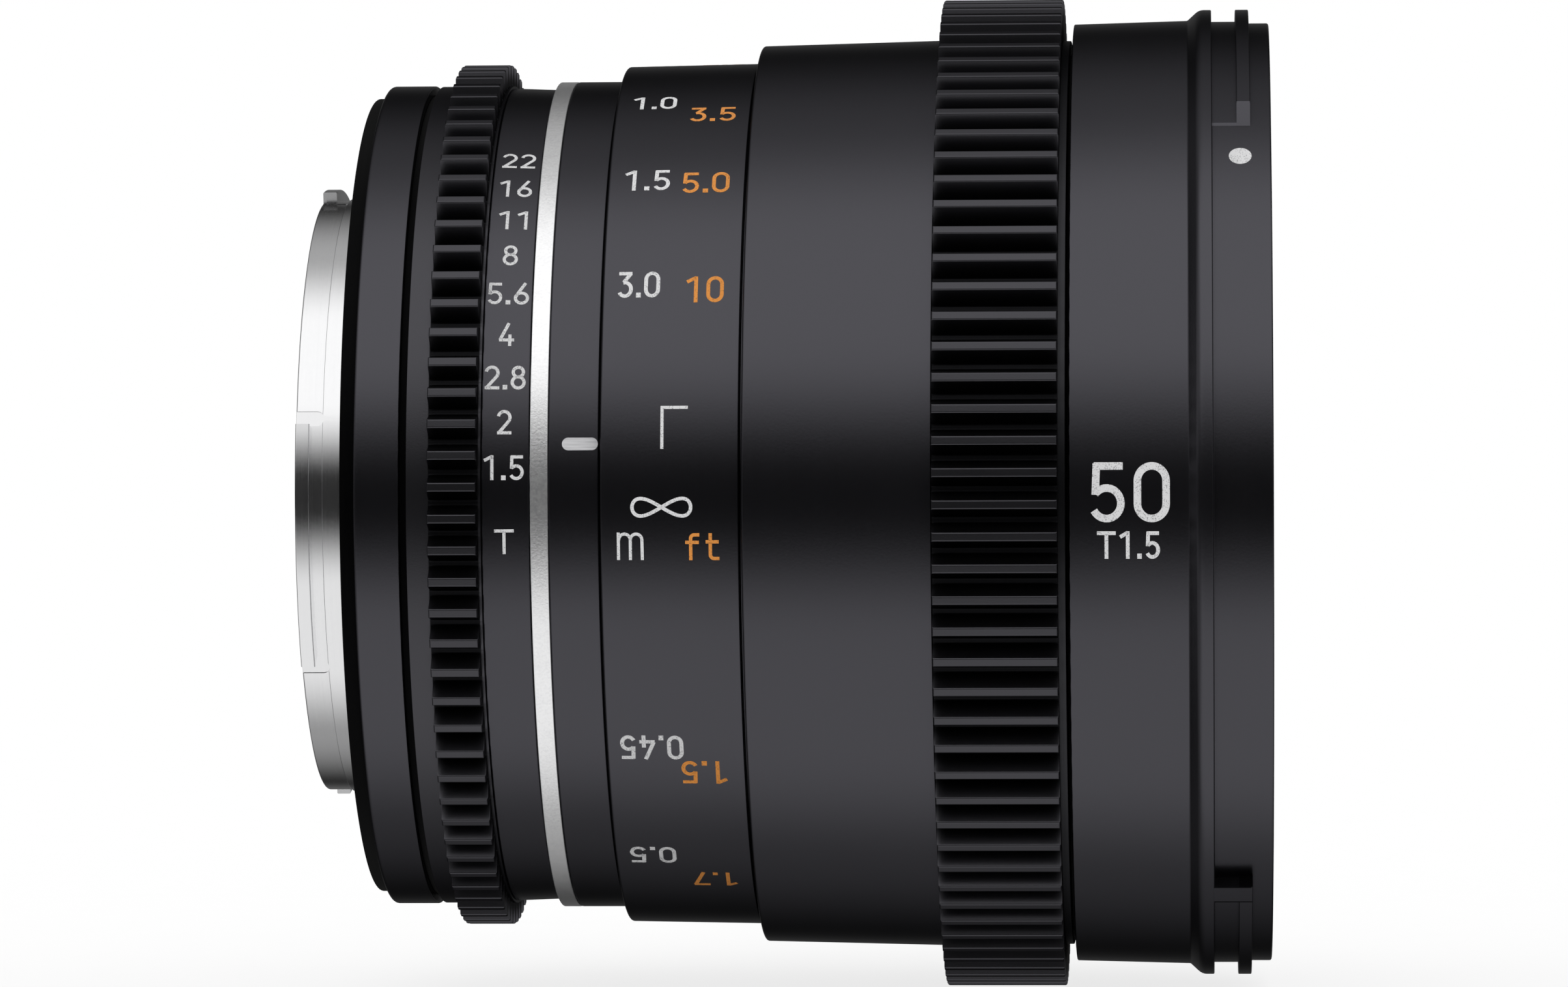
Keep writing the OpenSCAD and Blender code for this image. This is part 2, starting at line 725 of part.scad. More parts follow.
// Blank front ring with fine steps against stray light
module front_bezel() {
  inner = glass[0][4] + 0.8;
  steps = 7;
  run = (bezel_r - 1.2 - inner - 2) / steps;
  color("#1b1b1d") turned(concat(
    [[group_r + fit, z_sleeve_end + 1.63], [group_r + 1.6, z_sleeve_end + 1.63], [group_r + 1.6, z_group_end]],
    [[bezel_r, z_group_end], [bezel_r, z_group_end + 2.2], [bezel_r - 0.8, z_group_end + 2.2]],
    [for (i = [0:steps - 1], j = [0, 1])
      [bezel_r - 1.2 - i * run - j * 0.6 * run, z_group_end + 1.5 - j * 0.45]],
    [[inner + 1.7, z_group_end + 1.5], [inner, z_group_end + 0.1], [inner + 0.3, z_group_end]],
    [[group_r + fit, z_group_end]]
  ));
}

module front_lens_retainer() {
  outer = glass[0][4];
  from = first_z(0, outer - 1) + 0.1;
  color("black") turned([[outer - 1, from], [outer, from], [outer, from + 2.4], [outer - 0.5, from + 2.4]]);
}

module front_spacer() {
  outer = glass[1][4];
  color("black") tube(outer, outer - 1.1, first_z(1, outer - 1.1) + 0.1, second_z(0, outer) - 0.1);
}

module doublet_retainer() {
  outer = glass[2][4];
  from = first_z(2, outer - 1.3) + 0.1;
  color("black") tube(outer, outer - 1.3, from, from + 1.3);
}

module iris_housing() {
  fork = asin(4.4 / housing_in);
  color("#1f2022") difference() {
    turned([
      [stop_r, z_iris],
      [housing_r, z_iris],
      [housing_r, z_cover_end],
      [housing_in, z_cover_end],
      [housing_in, z_stop],
      [stop_r, z_stop]
    ]);
    for (i = [1:blade_count])
      rotate([0, 0, blade_step * (i - 1)]) translate([pivot_r, 0, z_iris + 0.25])
        cylinder(r = pin_r + 0.04, h = base_t);
    sector(housing_r + 1, housing_in - 1, z_cam - 0.15, z_cover_end + 1,
      lever_at - aperture_rest - fork, lever_at - aperture_rest + aperture_throw + fork);
    for (i = [0:3])
      rotate([0, 0, 20 + 90 * i]) translate([pivot_r + 2, 0, z_iris - 1]) cylinder(r = 0.55, h = 2);
  }
}

module iris_cover() {
  color("#1f2022") tube(housing_in - fit, stop_r + 0.6, z_cover, z_cover_end);
}

module iris_cam_ring() {
  color("goldenrod") difference() {
    union() {
      tube(cam_r, blade_out + 0.1, z_cam, z_cam + cam_t);
      block(guide_in - 0.15, cam_r - 0.5, z_cam, z_cam + cam_t, lever_h + 3.2, lever_at);
    }
    slab(guide_in + 1, lever_in - 0.2, z_cam - 1, z_cam + cam_t + 1, lever_h + 0.16, lever_at);
    for (i = [1:blade_count])
      rotate([0, 0, blade_step * (i - 1)]) translate([0, 0, z_cam - 1]) linear_extrude(cam_t + 2) cam_slot();
  }
}

// Blade as it lies wide open with its pivot on the X axis
module blade_outline() {
  tip = 104;
  mid = (blade_in + blade_out) / 2;
  intersection() {
    difference() {
      circle(r = blade_out);
      circle(r = blade_in);
    }
    polygon([[0, 0], [60, 4], [60, 60], [60 * cos(tip), 60 * sin(tip)]]);
  }
  translate([mid * cos(tip), mid * sin(tip)]) circle(r = (blade_out - blade_in) / 2);
  translate([pivot_r, 0]) circle(r = 1.3);
  translate([pivot_r, 0]) rotate(128) translate([0, -1.3]) square([6.5, 2.6]);
  translate([pivot_r, 0]) rotate(tail_turn(0)) translate([0, -0.8]) square([tail, 1.6]);
  translate(tail_pin(0)) circle(r = 0.8);
}

module iris_blade(i) {
  from = z_stop + 0.1 + level * (i - 1);
  color("#2d2d30") rotate([0, 0, blade_step * (i - 1)])
    translate([pivot_r, 0, 0]) rotate([0, 0, swing_rest]) translate([-pivot_r, 0, 0]) {
      translate([0, 0, from]) linear_extrude(blade_t) blade_outline();
      translate([pivot_r, 0, z_iris + 0.35]) cylinder(r = pin_r, h = from + blade_t - z_iris - 0.35);
      translate([tail_pin(0)[0], tail_pin(0)[1], from]) cylinder(r = pin_r, h = z_cam + cam_t - 0.1 - from);
    }
}

module guide_keys() {
  color("tan") for (a = guide_at)
    block(guide_in + 0.9, housing_r + 0.02, z_iris + 0.2, z_iris + 3.2, guide_h, a);
}

module rear_group_barrel() {
  bore = rear_glass_r + fit;
  color("#1f2022") difference() {
    turned([
      [bore, z_rear],
      [rear_barrel_r, z_rear],
      [rear_barrel_r, z_iris - 2],
      [pivot_r + 3.3, z_iris - 2],
      [pivot_r + 3.3, z_iris],
      [bore - flat_w + 0.4, z_iris],
      [bore - flat_w + 0.4, z_seat5],
      [bore, z_seat5]
    ]);
    for (i = [0:3]) axial_screw(pivot_r + 2, 20 + 90 * i, z_iris - 2, z_iris + 0.5, 0.5, 0.9, 0.05);
  }
}

module rear_group_screws() {
  color("dimgray") for (i = [0:3])
    axial_screw(pivot_r + 2, 20 + 90 * i, z_iris - 1.98, z_iris + 0.8, 0.5, 0.88, 0);
}

module rear_spacer_1() {
  inner = rear_glass_r - 1.2;
  color("black") tube(rear_glass_r, inner, first_z(6, inner) + 0.1, second_z(5, inner) - 0.1);
}

module rear_spacer_2() {
  inner = rear_glass_r - 1.2;
  color("black") tube(rear_glass_r, inner, first_z(8, inner) + 0.1, second_z(7, inner) - 0.1);
}

module rear_retainer() {
  top = second_z(8, rear_glass_r - 1.2) - 0.1;
  color("black") tube(rear_glass_r, rear_glass_r - 1.2, z_rear + 0.1, top);
}

module lens_element(i) {
  color("lightblue", 0.5) rotate_extrude() glass_section(i - 1);
}

lay() bayonet_mount();
lay() mount_screws();
lay() rear_baffle();
lay() rear_shell();
lay() main_tube();
lay() aperture_washer();
lay() trim_ring();
lay() index_barrel();
lay() index_marks();
lay() rear_thrust_washer();
lay() front_thrust_washer();
lay() helicoid_retainer();
lay() front_barrel();
lay() front_screws();
lay() aperture_ring();
lay() aperture_gear();
lay() aperture_lever();
lay() distance_scale_ring();
lay() focus_barrel();
lay() focus_gear();
lay() drive_keys();
lay() helicoid_ring();
lay() cell_sleeve();
lay() front_group_barrel();
lay() cell_screws();
lay() front_bezel();
lay() front_lens_retainer();
lay() front_spacer();
lay() doublet_retainer();
lay() iris_housing();
lay() iris_cover();
lay() guide_keys();
lay() rear_group_barrel();
lay() rear_group_screws();
lay() rear_spacer_1();
lay() rear_spacer_2();
lay() rear_retainer();
lay() iris_cam_ring();
for (i = [1:len(glass)])
  lay() lens_element(i);
for (i = [1:blade_count])
  lay() iris_blade(i);
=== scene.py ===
import math

import bmesh
import bpy
import numpy as np
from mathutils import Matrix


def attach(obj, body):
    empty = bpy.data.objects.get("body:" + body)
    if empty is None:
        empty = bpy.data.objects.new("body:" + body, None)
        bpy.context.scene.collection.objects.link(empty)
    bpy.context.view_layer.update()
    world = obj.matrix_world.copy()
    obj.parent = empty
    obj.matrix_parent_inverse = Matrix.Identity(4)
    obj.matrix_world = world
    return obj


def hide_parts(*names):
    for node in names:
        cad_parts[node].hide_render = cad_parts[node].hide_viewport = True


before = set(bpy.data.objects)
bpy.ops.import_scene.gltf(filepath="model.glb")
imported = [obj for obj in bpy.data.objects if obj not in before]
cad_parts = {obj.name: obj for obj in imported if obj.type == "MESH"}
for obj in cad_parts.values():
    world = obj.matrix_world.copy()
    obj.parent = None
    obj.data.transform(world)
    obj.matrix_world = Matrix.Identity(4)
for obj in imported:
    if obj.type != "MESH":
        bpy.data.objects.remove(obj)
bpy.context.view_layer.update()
scene = bpy.context.scene
scene.view_settings.view_transform = "Standard"
print("frame loaded,", len(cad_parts), "nodes")

# shapes are given in mm and turns in degrees; meshes are in metres
mm = 0.001
weldDistance = 2e-7
edgeAngle = 38


# shader maths: a socket that adds Math nodes when it is used in an expression
class Wire:
    def __init__(self, tree, socket=None):
        self.tree = tree
        self.socket = socket

    # any node: its type, its settings, then the values or links of its sockets
    def node(self, kind, settings=None, sockets=None, out=0):
        made = self.tree.nodes.new(kind)
        for key, value in (settings or {}).items():
            setattr(made, key, value)
        for key, value in (sockets or {}).items():
            if isinstance(value, Wire):
                self.tree.links.new(value.socket, made.inputs[key])
            else:
                made.inputs[key].default_value = value
        return Wire(self.tree, made.outputs[out])

    def calc(self, operation, *values):
        return self.node("ShaderNodeMath", {"operation": operation}, dict(enumerate(values)))

    def __add__(self, other): return self.calc("ADD", self, other)
    def __radd__(self, other): return self.calc("ADD", other, self)
    def __sub__(self, other): return self.calc("SUBTRACT", self, other)
    def __rsub__(self, other): return self.calc("SUBTRACT", other, self)
    def __mul__(self, other): return self.calc("MULTIPLY", self, other)
    def __rmul__(self, other): return self.calc("MULTIPLY", other, self)
    def __abs__(self): return self.calc("ABSOLUTE", self)

    def larger(self, other): return self.calc("MAXIMUM", self, other)

    # 0 below the first value, 1 above the second, smooth between them
    def rise(self, low, high):
        return self.node("ShaderNodeMapRange", {"interpolation_type": "SMOOTHSTEP"},
                         {"Value": self, "From Min": low, "From Max": high})

    def part(self, index):
        return self.node("ShaderNodeSeparateXYZ", None, {0: self}, index)

    def scaled(self, factors):
        return self.node("ShaderNodeVectorMath", {"operation": "MULTIPLY"}, {0: self, 1: factors})

    def grain(self, size, detail=3.0, rough=0.55):
        return self.node("ShaderNodeTexNoise", None,
                         {"Vector": self, "Scale": size, "Detail": detail, "Roughness": rough})

    def tint(self, first, second):
        return self.node("ShaderNodeMix", {"data_type": "RGBA"}, {0: self, 6: first, 7: second}, 2)

    def bump(self, strength, depth):
        return self.node("ShaderNodeBump", None, {"Height": self, "Strength": strength, "Distance": depth})


# a finish: fixed numbers go on the shader's own sockets, varied(coords) gives what changes over the surface
def makeFinish(name, fixed, varied):
    material = bpy.data.materials.new(name)
    material.use_nodes = True
    tree = material.node_tree
    shader = tree.nodes["Principled BSDF"]
    for key, value in fixed.items():
        shader.inputs[key].default_value = value
    coords = Wire(tree).node("ShaderNodeTexCoord", None, None, 3)
    for key, wire in varied(coords).items():
        tree.links.new(wire.socket, shader.inputs[key])
    return material


def grey(value):
    return (value, value, value, 1)


satinSpec = {
    "colour": (0.0718, 0.0704, 0.0796, 1), "paler": (0.0787, 0.0772, 0.0866, 1),
    "rough": 0.245, "edge": 0.5, "grainSize": 5200, "patchSize": 55,
}


def satinLook(coords):
    fine = coords.grain(satinSpec["grainSize"], 2.0)
    turning = coords.scaled((5200, 40, 40)).grain(1.0, 2.0)
    patch = coords.grain(satinSpec["patchSize"], 3.0)
    colour = (0.65 * fine + 0.35 * patch).tint(satinSpec["colour"], satinSpec["paler"])
    rough = satinSpec["rough"] - 0.05 + 0.05 * fine + 0.03 * patch + 0.02 * turning
    return {"Base Color": colour, "Roughness": rough,
            "Normal": (fine + 0.4 * turning).bump(0.10, 0.00003)}


satinBlack = makeFinish("satinBlack", {"Metallic": 1.0, "Specular Tint": grey(satinSpec["edge"])}, satinLook)

# moulded gears: matt at the root of the teeth and smoother on the lands and on the plain band outside x0 to x1;
# the root is also darker in colour, which is painted shade between the teeth
# the root colour is painted shade between the teeth; colour and paler vary at random over the surface
gearSpec = {
    "colour": (0.0648, 0.0639, 0.0704, 1), "paler": (0.0741, 0.0727, 0.0806, 1),
    "root": (0.0148, 0.0148, 0.0162, 1), "rough": 0.27, "rootRough": 0.15, "edge": 0.4, "blend": (0.12, 0.08),
}


def gearFinish(name, rootR, tipR, x0, x1):
    def look(coords):
        fine = coords.grain(7000, 2.0)
        patch = coords.grain(160, 3.0)
        y, z = coords.part(1), coords.part(2)
        before, after = gearSpec["blend"]
        # 0 at the root of the teeth, where the painted shade colour goes, and 1 on the lands and the plain band
        clearOfRootShade = y.calc("SQRT", y * y + z * z).rise(rootR * mm, tipR * mm)
        clearOfRootShade = clearOfRootShade.larger(1 - coords.part(0).rise((x0 - before) * mm, x0 * mm))
        clearOfRootShade = clearOfRootShade.larger(coords.part(0).rise(x1 * mm, (x1 + after) * mm))
        pale = (0.6 * fine + 0.4 * patch).tint(gearSpec["colour"], gearSpec["paler"])
        colour = clearOfRootShade.tint(gearSpec["root"], pale)
        rough = gearSpec["rough"] + gearSpec["rootRough"] * (1 - clearOfRootShade) + 0.04 * fine + 0.03 * patch
        return {"Base Color": colour, "Roughness": rough, "Normal": fine.bump(0.12, 0.00003)}
    return makeFinish(name, {"Metallic": 1.0, "Specular Tint": grey(gearSpec["edge"])}, look)


apertureGearBlack = gearFinish("apertureGearBlack", 34.75, 36.3, 7.0, 10.95)
focusGearBlack = gearFinish("focusGearBlack", 39.95, 41.5, 40.0, 70.0)

# the groove ahead of the focus gear: its darker colour is painted shade in the recess between the gear and the
# front barrel; the rougher turning lines are its own finish
grooveShadeSpec = {
    "colour": (0.042, 0.042, 0.046, 1), "paler": (0.054, 0.054, 0.058, 1), "rough": 0.3, "edge": 0.4,
}


def grooveShadeLook(coords):
    lines = coords.scaled((6000, 60, 60)).grain(1.0, 3.0)
    patch = coords.grain(300, 3.0)
    return {"Base Color": (0.5 * lines + 0.5 * patch).tint(grooveShadeSpec["colour"], grooveShadeSpec["paler"]),
            "Roughness": grooveShadeSpec["rough"] + 0.06 * lines, "Normal": lines.bump(0.15, 0.00003)}


grooveShadeBlack = makeFinish(
    "grooveShadeBlack", {"Metallic": 1.0, "Specular Tint": grey(grooveShadeSpec["edge"])}, grooveShadeLook)

mattSpec = {"colour": (0.009, 0.009, 0.0095, 1), "paler": (0.016, 0.016, 0.0165, 1), "rough": 0.62}


def mattLook(coords):
    fine = coords.grain(6000, 3.0)
    patch = coords.grain(220, 3.0)
    colour = (0.7 * fine + 0.3 * patch).tint(mattSpec["colour"], mattSpec["paler"])
    return {"Base Color": colour, "Roughness": mattSpec["rough"] - 0.08 + 0.16 * fine,
            "Normal": fine.bump(0.25, 0.00004)}


mattBlack = makeFinish("mattBlack", {"Specular IOR Level": 0.3}, mattLook)

chromeSpec = {"colour": (0.91, 0.91, 0.915, 1), "dull": (0.82, 0.82, 0.83, 1), "rough": 0.13}


def chromeLook(coords):
    turning = coords.scaled((9000, 70, 70)).grain(1.0, 3.0, 0.65)
    wide = coords.scaled((1500, 30, 30)).grain(1.0, 2.0)
    speck = coords.grain(2600, 2.0)
    colour = (0.6 * turning + 0.4 * speck).tint(chromeSpec["dull"], chromeSpec["colour"])
    rough = chromeSpec["rough"] - 0.08 + 0.10 * turning + 0.06 * speck
    return {"Base Color": colour, "Roughness": rough,
            "Normal": (turning + 0.8 * wide).bump(0.22, 0.00003)}


turnedChrome = makeFinish("turnedChrome", {"Metallic": 1.0}, chromeLook)

silverSpec = {"colour": (0.975, 0.975, 0.98, 1), "dull": (0.88, 0.88, 0.89, 1), "rough": 0.23}


def silverLook(coords):
    speck = coords.grain(5200, 3.0, 0.7)
    patch = coords.grain(700, 2.0)
    colour = (0.75 * speck + 0.25 * patch).rise(0.3, 0.6).tint(silverSpec["dull"], silverSpec["colour"])
    rough = silverSpec["rough"] - 0.07 + 0.14 * speck
    return {"Base Color": colour, "Roughness": rough, "Normal": speck.bump(0.30, 0.00004)}


satinSilver = makeFinish("satinSilver", {"Metallic": 0.88}, silverLook)


# printed figures: paint with the fine pits that etching leaves
def paintFinish(name, colour, pit):
    def look(coords):
        speck = coords.grain(9500, 2.0, 0.6)
        patch = coords.grain(1500, 2.0)
        pits = (0.8 * speck + 0.2 * patch).rise(0.36, 0.47)
        return {"Base Color": pits.tint(pit, colour), "Roughness": 0.72 - 0.14 * pits,
                "Normal": pits.bump(0.2, 0.00002)}
    return makeFinish(name, {"Specular IOR Level": 0.25}, look)


whitePaint = paintFinish("whitePaint", (0.74, 0.74, 0.745, 1), (0.30, 0.30, 0.31, 1))
orangePaint = paintFinish("orangePaint", (0.76, 0.29, 0.055, 1), (0.38, 0.15, 0.04, 1))


def inlayLook(coords):
    lines = coords.scaled((260, 9000, 9000)).grain(1.0, 3.0, 0.6)
    colour = lines.rise(0.3, 0.7).tint((0.50, 0.50, 0.515, 1), (0.72, 0.72, 0.735, 1))
    return {"Base Color": colour, "Roughness": 0.42 + 0.2 * lines, "Normal": lines.bump(0.3, 0.00003)}


brushedInlay = makeFinish("brushedInlay", {"Metallic": 0.15}, inlayLook)


def glassLook(coords):
    dust = coords.grain(900, 2.0).rise(0.62, 0.80)
    return {"Roughness": 0.004 + 0.05 * dust}


coatedGlass = makeFinish("coatedGlass", {
    "Base Color": (1, 1, 1, 1), "Transmission Weight": 1.0, "IOR": 1.58,
    "Thin Film Thickness": 420.0, "Thin Film IOR": 1.38,
}, glassLook)
innerGlass = makeFinish("innerGlass", {
    "Base Color": (1, 1, 1, 1), "Transmission Weight": 1.0, "IOR": 1.62,
    "Thin Film Thickness": 300.0, "Thin Film IOR": 1.38,
}, glassLook)


# plain turned metals of the inside pieces
def turnedFinish(name, dark, light, rough, metal):
    def look(coords):
        turning = coords.scaled((4000, 200, 200)).grain(1.0, 3.0)
        speck = coords.grain(3000, 2.0)
        return {"Base Color": (0.6 * turning + 0.4 * speck).tint(dark, light),
                "Roughness": rough - 0.06 + 0.12 * turning, "Normal": turning.bump(0.2, 0.00003)}
    return makeFinish(name, {"Metallic": metal}, look)


innerAlloy = turnedFinish("innerAlloy", (0.035, 0.035, 0.038, 1), (0.060, 0.060, 0.064, 1), 0.42, 0.85)
brassParts = turnedFinish("brassParts", (0.60, 0.42, 0.17, 1), (0.74, 0.55, 0.26, 1), 0.30, 1.0)
screwSteel = turnedFinish("screwSteel", (0.30, 0.30, 0.31, 1), (0.46, 0.46, 0.47, 1), 0.30, 1.0)
bladeSteel = turnedFinish("bladeSteel", (0.030, 0.030, 0.033, 1), (0.055, 0.055, 0.060, 1), 0.38, 0.9)
deepBlack = turnedFinish("deepBlack", (0.003, 0.003, 0.0032, 1), (0.006, 0.006, 0.0063, 1), 0.5, 1.0)
print("finishes made")


# outline of a turned piece: each corner gives way to an arc that touches both its sides, and a
# support point stands beside each end of the arc so that the long faces stay flat in the shading
def softOutline(corners, radius=0.05, steps=4):
    p = np.array([c[:2] for c in corners], float)
    r = np.array([c[2] if len(c) > 2 else radius for c in corners], float)
    a = np.roll(p, 1, 0) - p
    b = np.roll(p, -1, 0) - p
    la = np.linalg.norm(a, axis=1)
    lb = np.linalg.norm(b, axis=1)
    a /= la[:, None]
    b /= lb[:, None]
    half = np.arccos(np.clip((a * b).sum(1), -1, 1)) / 2
    short = np.minimum(la, lb)
    cut = np.minimum(r / np.tan(np.minimum(half, 1.5707)), 0.42 * short)
    mid = a + b
    mid /= np.maximum(np.linalg.norm(mid, axis=1), 1e-9)[:, None]
    centre = p + mid * (cut / np.cos(half))[:, None]
    bow = np.maximum(math.pi - 2 * half, 1e-4)[:, None, None]
    s = np.linspace(0, 1, steps + 1)[None, :, None]
    begin = (p + a * cut[:, None] - centre)[:, None, :]
    end = (p + b * cut[:, None] - centre)[:, None, :]
    arc = centre[:, None, :] + (np.sin((1 - s) * bow) * begin + np.sin(s * bow) * end) / np.sin(bow)
    guard = np.minimum(0.06, 0.06 * short)
    before = (p + a * (cut + guard)[:, None])[:, None, :]
    after = (p + b * (cut + guard)[:, None])[:, None, :]
    return np.concatenate([before, arc, after], axis=1).reshape(-1, 2)


# rows of points joined into quads; either way round may be closed
def gridQuads(rows, columns, closedRows, closedColumns):
    i = np.arange(rows if closedRows else rows - 1)[:, None]
    j = np.arange(columns if closedColumns else columns - 1)[None, :]
    i2 = (i + 1) % rows
    j2 = (j + 1) % columns
    corners = [i * columns + j, i * columns + j2, i2 * columns + j2, i2 * columns + j]
    return np.stack(corners, -1).reshape(-1, 4)


# a closed shell counts as right way out when its volume comes out positive
def outward(points, quads):
    q = points[quads]
    volume = (np.einsum("ij,ij->i", q[:, 0], np.cross(q[:, 1], q[:, 2]))
              + np.einsum("ij,ij->i", q[:, 0], np.cross(q[:, 2], q[:, 3]))).sum()
    return points, quads if volume > 0 else quads[:, ::-1]


# x along the lens, r out from the axis, turn in radians up from the near side
def around(x, r, turn):
    return np.stack([x + 0 * turn, -r * np.cos(turn), r * np.sin(turn)], -1)


# the outline (x, r) goes once round the axis
def turned(outline, count=360):
    turn = np.linspace(0, 2 * math.pi, count, endpoint=False)
    points = around(outline[:, :1], outline[:, 1:], turn[None, :]).reshape(-1, 3)
    return outward(points, gridQuads(len(outline), count, True, True))


# shells of one piece put together
def joined(*shells):
    places = np.cumsum([0] + [len(s[0]) for s in shells])
    return (np.concatenate([s[0] for s in shells]),
            np.concatenate([s[1] + at for s, at in zip(shells, places)]))


# a shell as a mesh in metres, with doubled points closed
def makeMesh(name, shell):
    points, quads = shell
    mesh = bpy.data.meshes.new(name)
    mesh.from_pydata((points * mm).tolist(), [], quads.tolist())
    work = bmesh.new()
    work.from_mesh(mesh)
    bmesh.ops.remove_doubles(work, verts=work.verts, dist=weldDistance)
    work.to_mesh(mesh)
    work.free()
    return mesh


# a smooth piece in its finish, handed to its body; nodes are those that it stands for
def addPiece(name, shell, finish, body, nodes=(), sharp=edgeAngle):
    mesh = makeMesh(name, shell)
    mesh.polygons.foreach_set("use_smooth", np.ones(len(mesh.polygons), bool))
    mesh.set_sharp_from_angle(angle=math.radians(sharp))
    mesh.materials.append(finish)
    piece = bpy.data.objects.new(name, mesh)
    scene.collection.objects.link(piece)
    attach(piece, body)
    if nodes:
        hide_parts(*nodes)
    return piece


# bayonet: a turned barrel with its flange; three tabs are arcs of rounded bar let into it
bayonet = {
    "inner": 23.05, "rear": 25.0, "front": 25.15, "end": -4.9, "step": -2.7, "flange": 32.0, "thick": 1.8,
    "tabTop": 25.95, "tabFrom": -4.85, "tabTo": -3.70, "tabAngle": 46, "tabTops": (13, 126, -100),
    "slotHalf": 0.62, "slotDeep": 0.06, "slotTurn": 1.5, "slotBack": 0.5,
    "screwRing": 29.3, "screwR": 1.43, "screwDeep": 0.9, "screwTurns": (45, 135, 225, 315),
    "pinR": 1.1, "pinTurn": 80,
}


# part of a ring: a rounded section (x, r) carried along an arc, closed at both ends
def arcBar(section, start, stop, count=40, rise=None):
    turn = np.radians(np.linspace(start, stop, count))
    x = np.broadcast_to(section[None, :, 0], (count, len(section)))
    r = np.broadcast_to(section[None, :, 1], (count, len(section)))
    if rise is not None:
        r = rise(np.degrees(turn)[:, None], r)
    body = around(x, r, turn[:, None]).reshape(-1, 3)
    n = len(section)
    quads = gridQuads(count, n, False, True)
    j = np.arange(n // 2 - 1)
    cap = np.stack([j, j + 1, n - 2 - j, n - 1 - j], -1)
    return outward(body, np.concatenate([quads, cap, cap[:, ::-1] + (count - 1) * n]))


def makeBayonet():
    b = bayonet
    return turned(softOutline([
        (b["thick"], b["inner"]), (b["end"], b["inner"], 0.2), (b["end"], b["rear"], 0.14),
        (b["step"], b["rear"], 0.04), (b["step"], b["front"], 0.05),
        (0, b["front"], 0.12), (0, b["flange"], 0.1), (b["thick"], b["flange"]),
    ]))


def makeTabs():
    b = bayonet
    section = softOutline([
        (b["tabFrom"], b["rear"] - 1.2), (b["tabFrom"], b["tabTop"], 0.1),
        (b["tabTo"], b["tabTop"], 0.1), (b["tabTo"], b["rear"] - 1.2),
    ], 0.02, 3)
    return joined(*[arcBar(section, top - b["tabAngle"], top) for top in b["tabTops"]])


# a post along the axis: a circle of points carried from one end to the other
def post(x0, x1, ring, turn, r, count=40):
    a = np.linspace(0, 2 * math.pi, count, endpoint=False)
    cy, cz = -ring * math.cos(math.radians(turn)), ring * math.sin(math.radians(turn))
    x = np.array([x0, x0, x1, x1])[:, None]
    q = np.array([0.0, r, r, 0.0])[:, None]
    grid = np.stack([x + 0 * a, cy + q * np.cos(a), cz + q * np.sin(a)], -1)
    return outward(grid.reshape(-1, 3), gridQuads(4, count, False, True))


# a run-out at the end of a tab: a slot with one round end, carried outwards from its floor
def runOut(turn):
    b = bayonet
    q = b["slotHalf"]
    a = np.linspace(-math.pi / 2, math.pi / 2, 16)
    x = np.concatenate([b["step"] - b["slotBack"] + q * np.cos(a), [b["end"] - 1, b["end"] - 1]])
    v = np.concatenate([q * np.sin(a), [q, -q]])
    r = np.array([b["rear"] - b["slotDeep"], b["rear"] + 3])[:, None]
    grid = around(x[None, :], r, math.radians(turn) + v[None, :] / r)
    n = len(x)
    k = np.arange(n // 2 - 1)
    cap = np.stack([k, k + 1, n - 2 - k, n - 1 - k], -1)
    return outward(grid.reshape(-1, 3), np.concatenate([gridQuads(2, n, False, True), cap[:, ::-1], cap + n]))


# takes the shells away from a piece
def cutAway(piece, shell):
    cutter = bpy.data.objects.new("cutter", makeMesh("cutter", shell))
    scene.collection.objects.link(cutter)
    cut = piece.modifiers.new("cut", "BOOLEAN")
    cut.operation = "DIFFERENCE"
    cut.solver = "EXACT"
    cut.object = cutter
    whole = bpy.data.meshes.new_from_object(piece.evaluated_get(bpy.context.evaluated_depsgraph_get()))
    piece.modifiers.clear()
    piece.data = whole
    bpy.data.objects.remove(cutter)
    whole.set_sharp_from_angle(angle=math.radians(edgeAngle))


def bayonetCuts():
    b = bayonet
    slots = [runOut(turn) for top in b["tabTops"]
             for turn in (top + b["slotTurn"], top - b["tabAngle"] - b["slotTurn"])]
    screws = [post(-1, b["screwDeep"], b["screwRing"], turn, b["screwR"]) for turn in b["screwTurns"]]
    return joined(post(-1, 3, b["screwRing"], b["pinTurn"], b["pinR"]), *screws, *slots)


barrel = addPiece("bayonet", makeBayonet(), turnedChrome, "barrel", ["bayonet_mount"])
cutAway(barrel, bayonetCuts())
addPiece("bayonetTabs", makeTabs(), turnedChrome, "barrel")

screwHead = {
    "r": 1.36, "sunk": 0.12, "dome": 0.10, "foot": 0.85, "count": 96,
    "armHalf": 0.17, "armSide": 0.05, "armReach": 0.82, "armEnd": 0.06, "armDeep": 0.45,
}


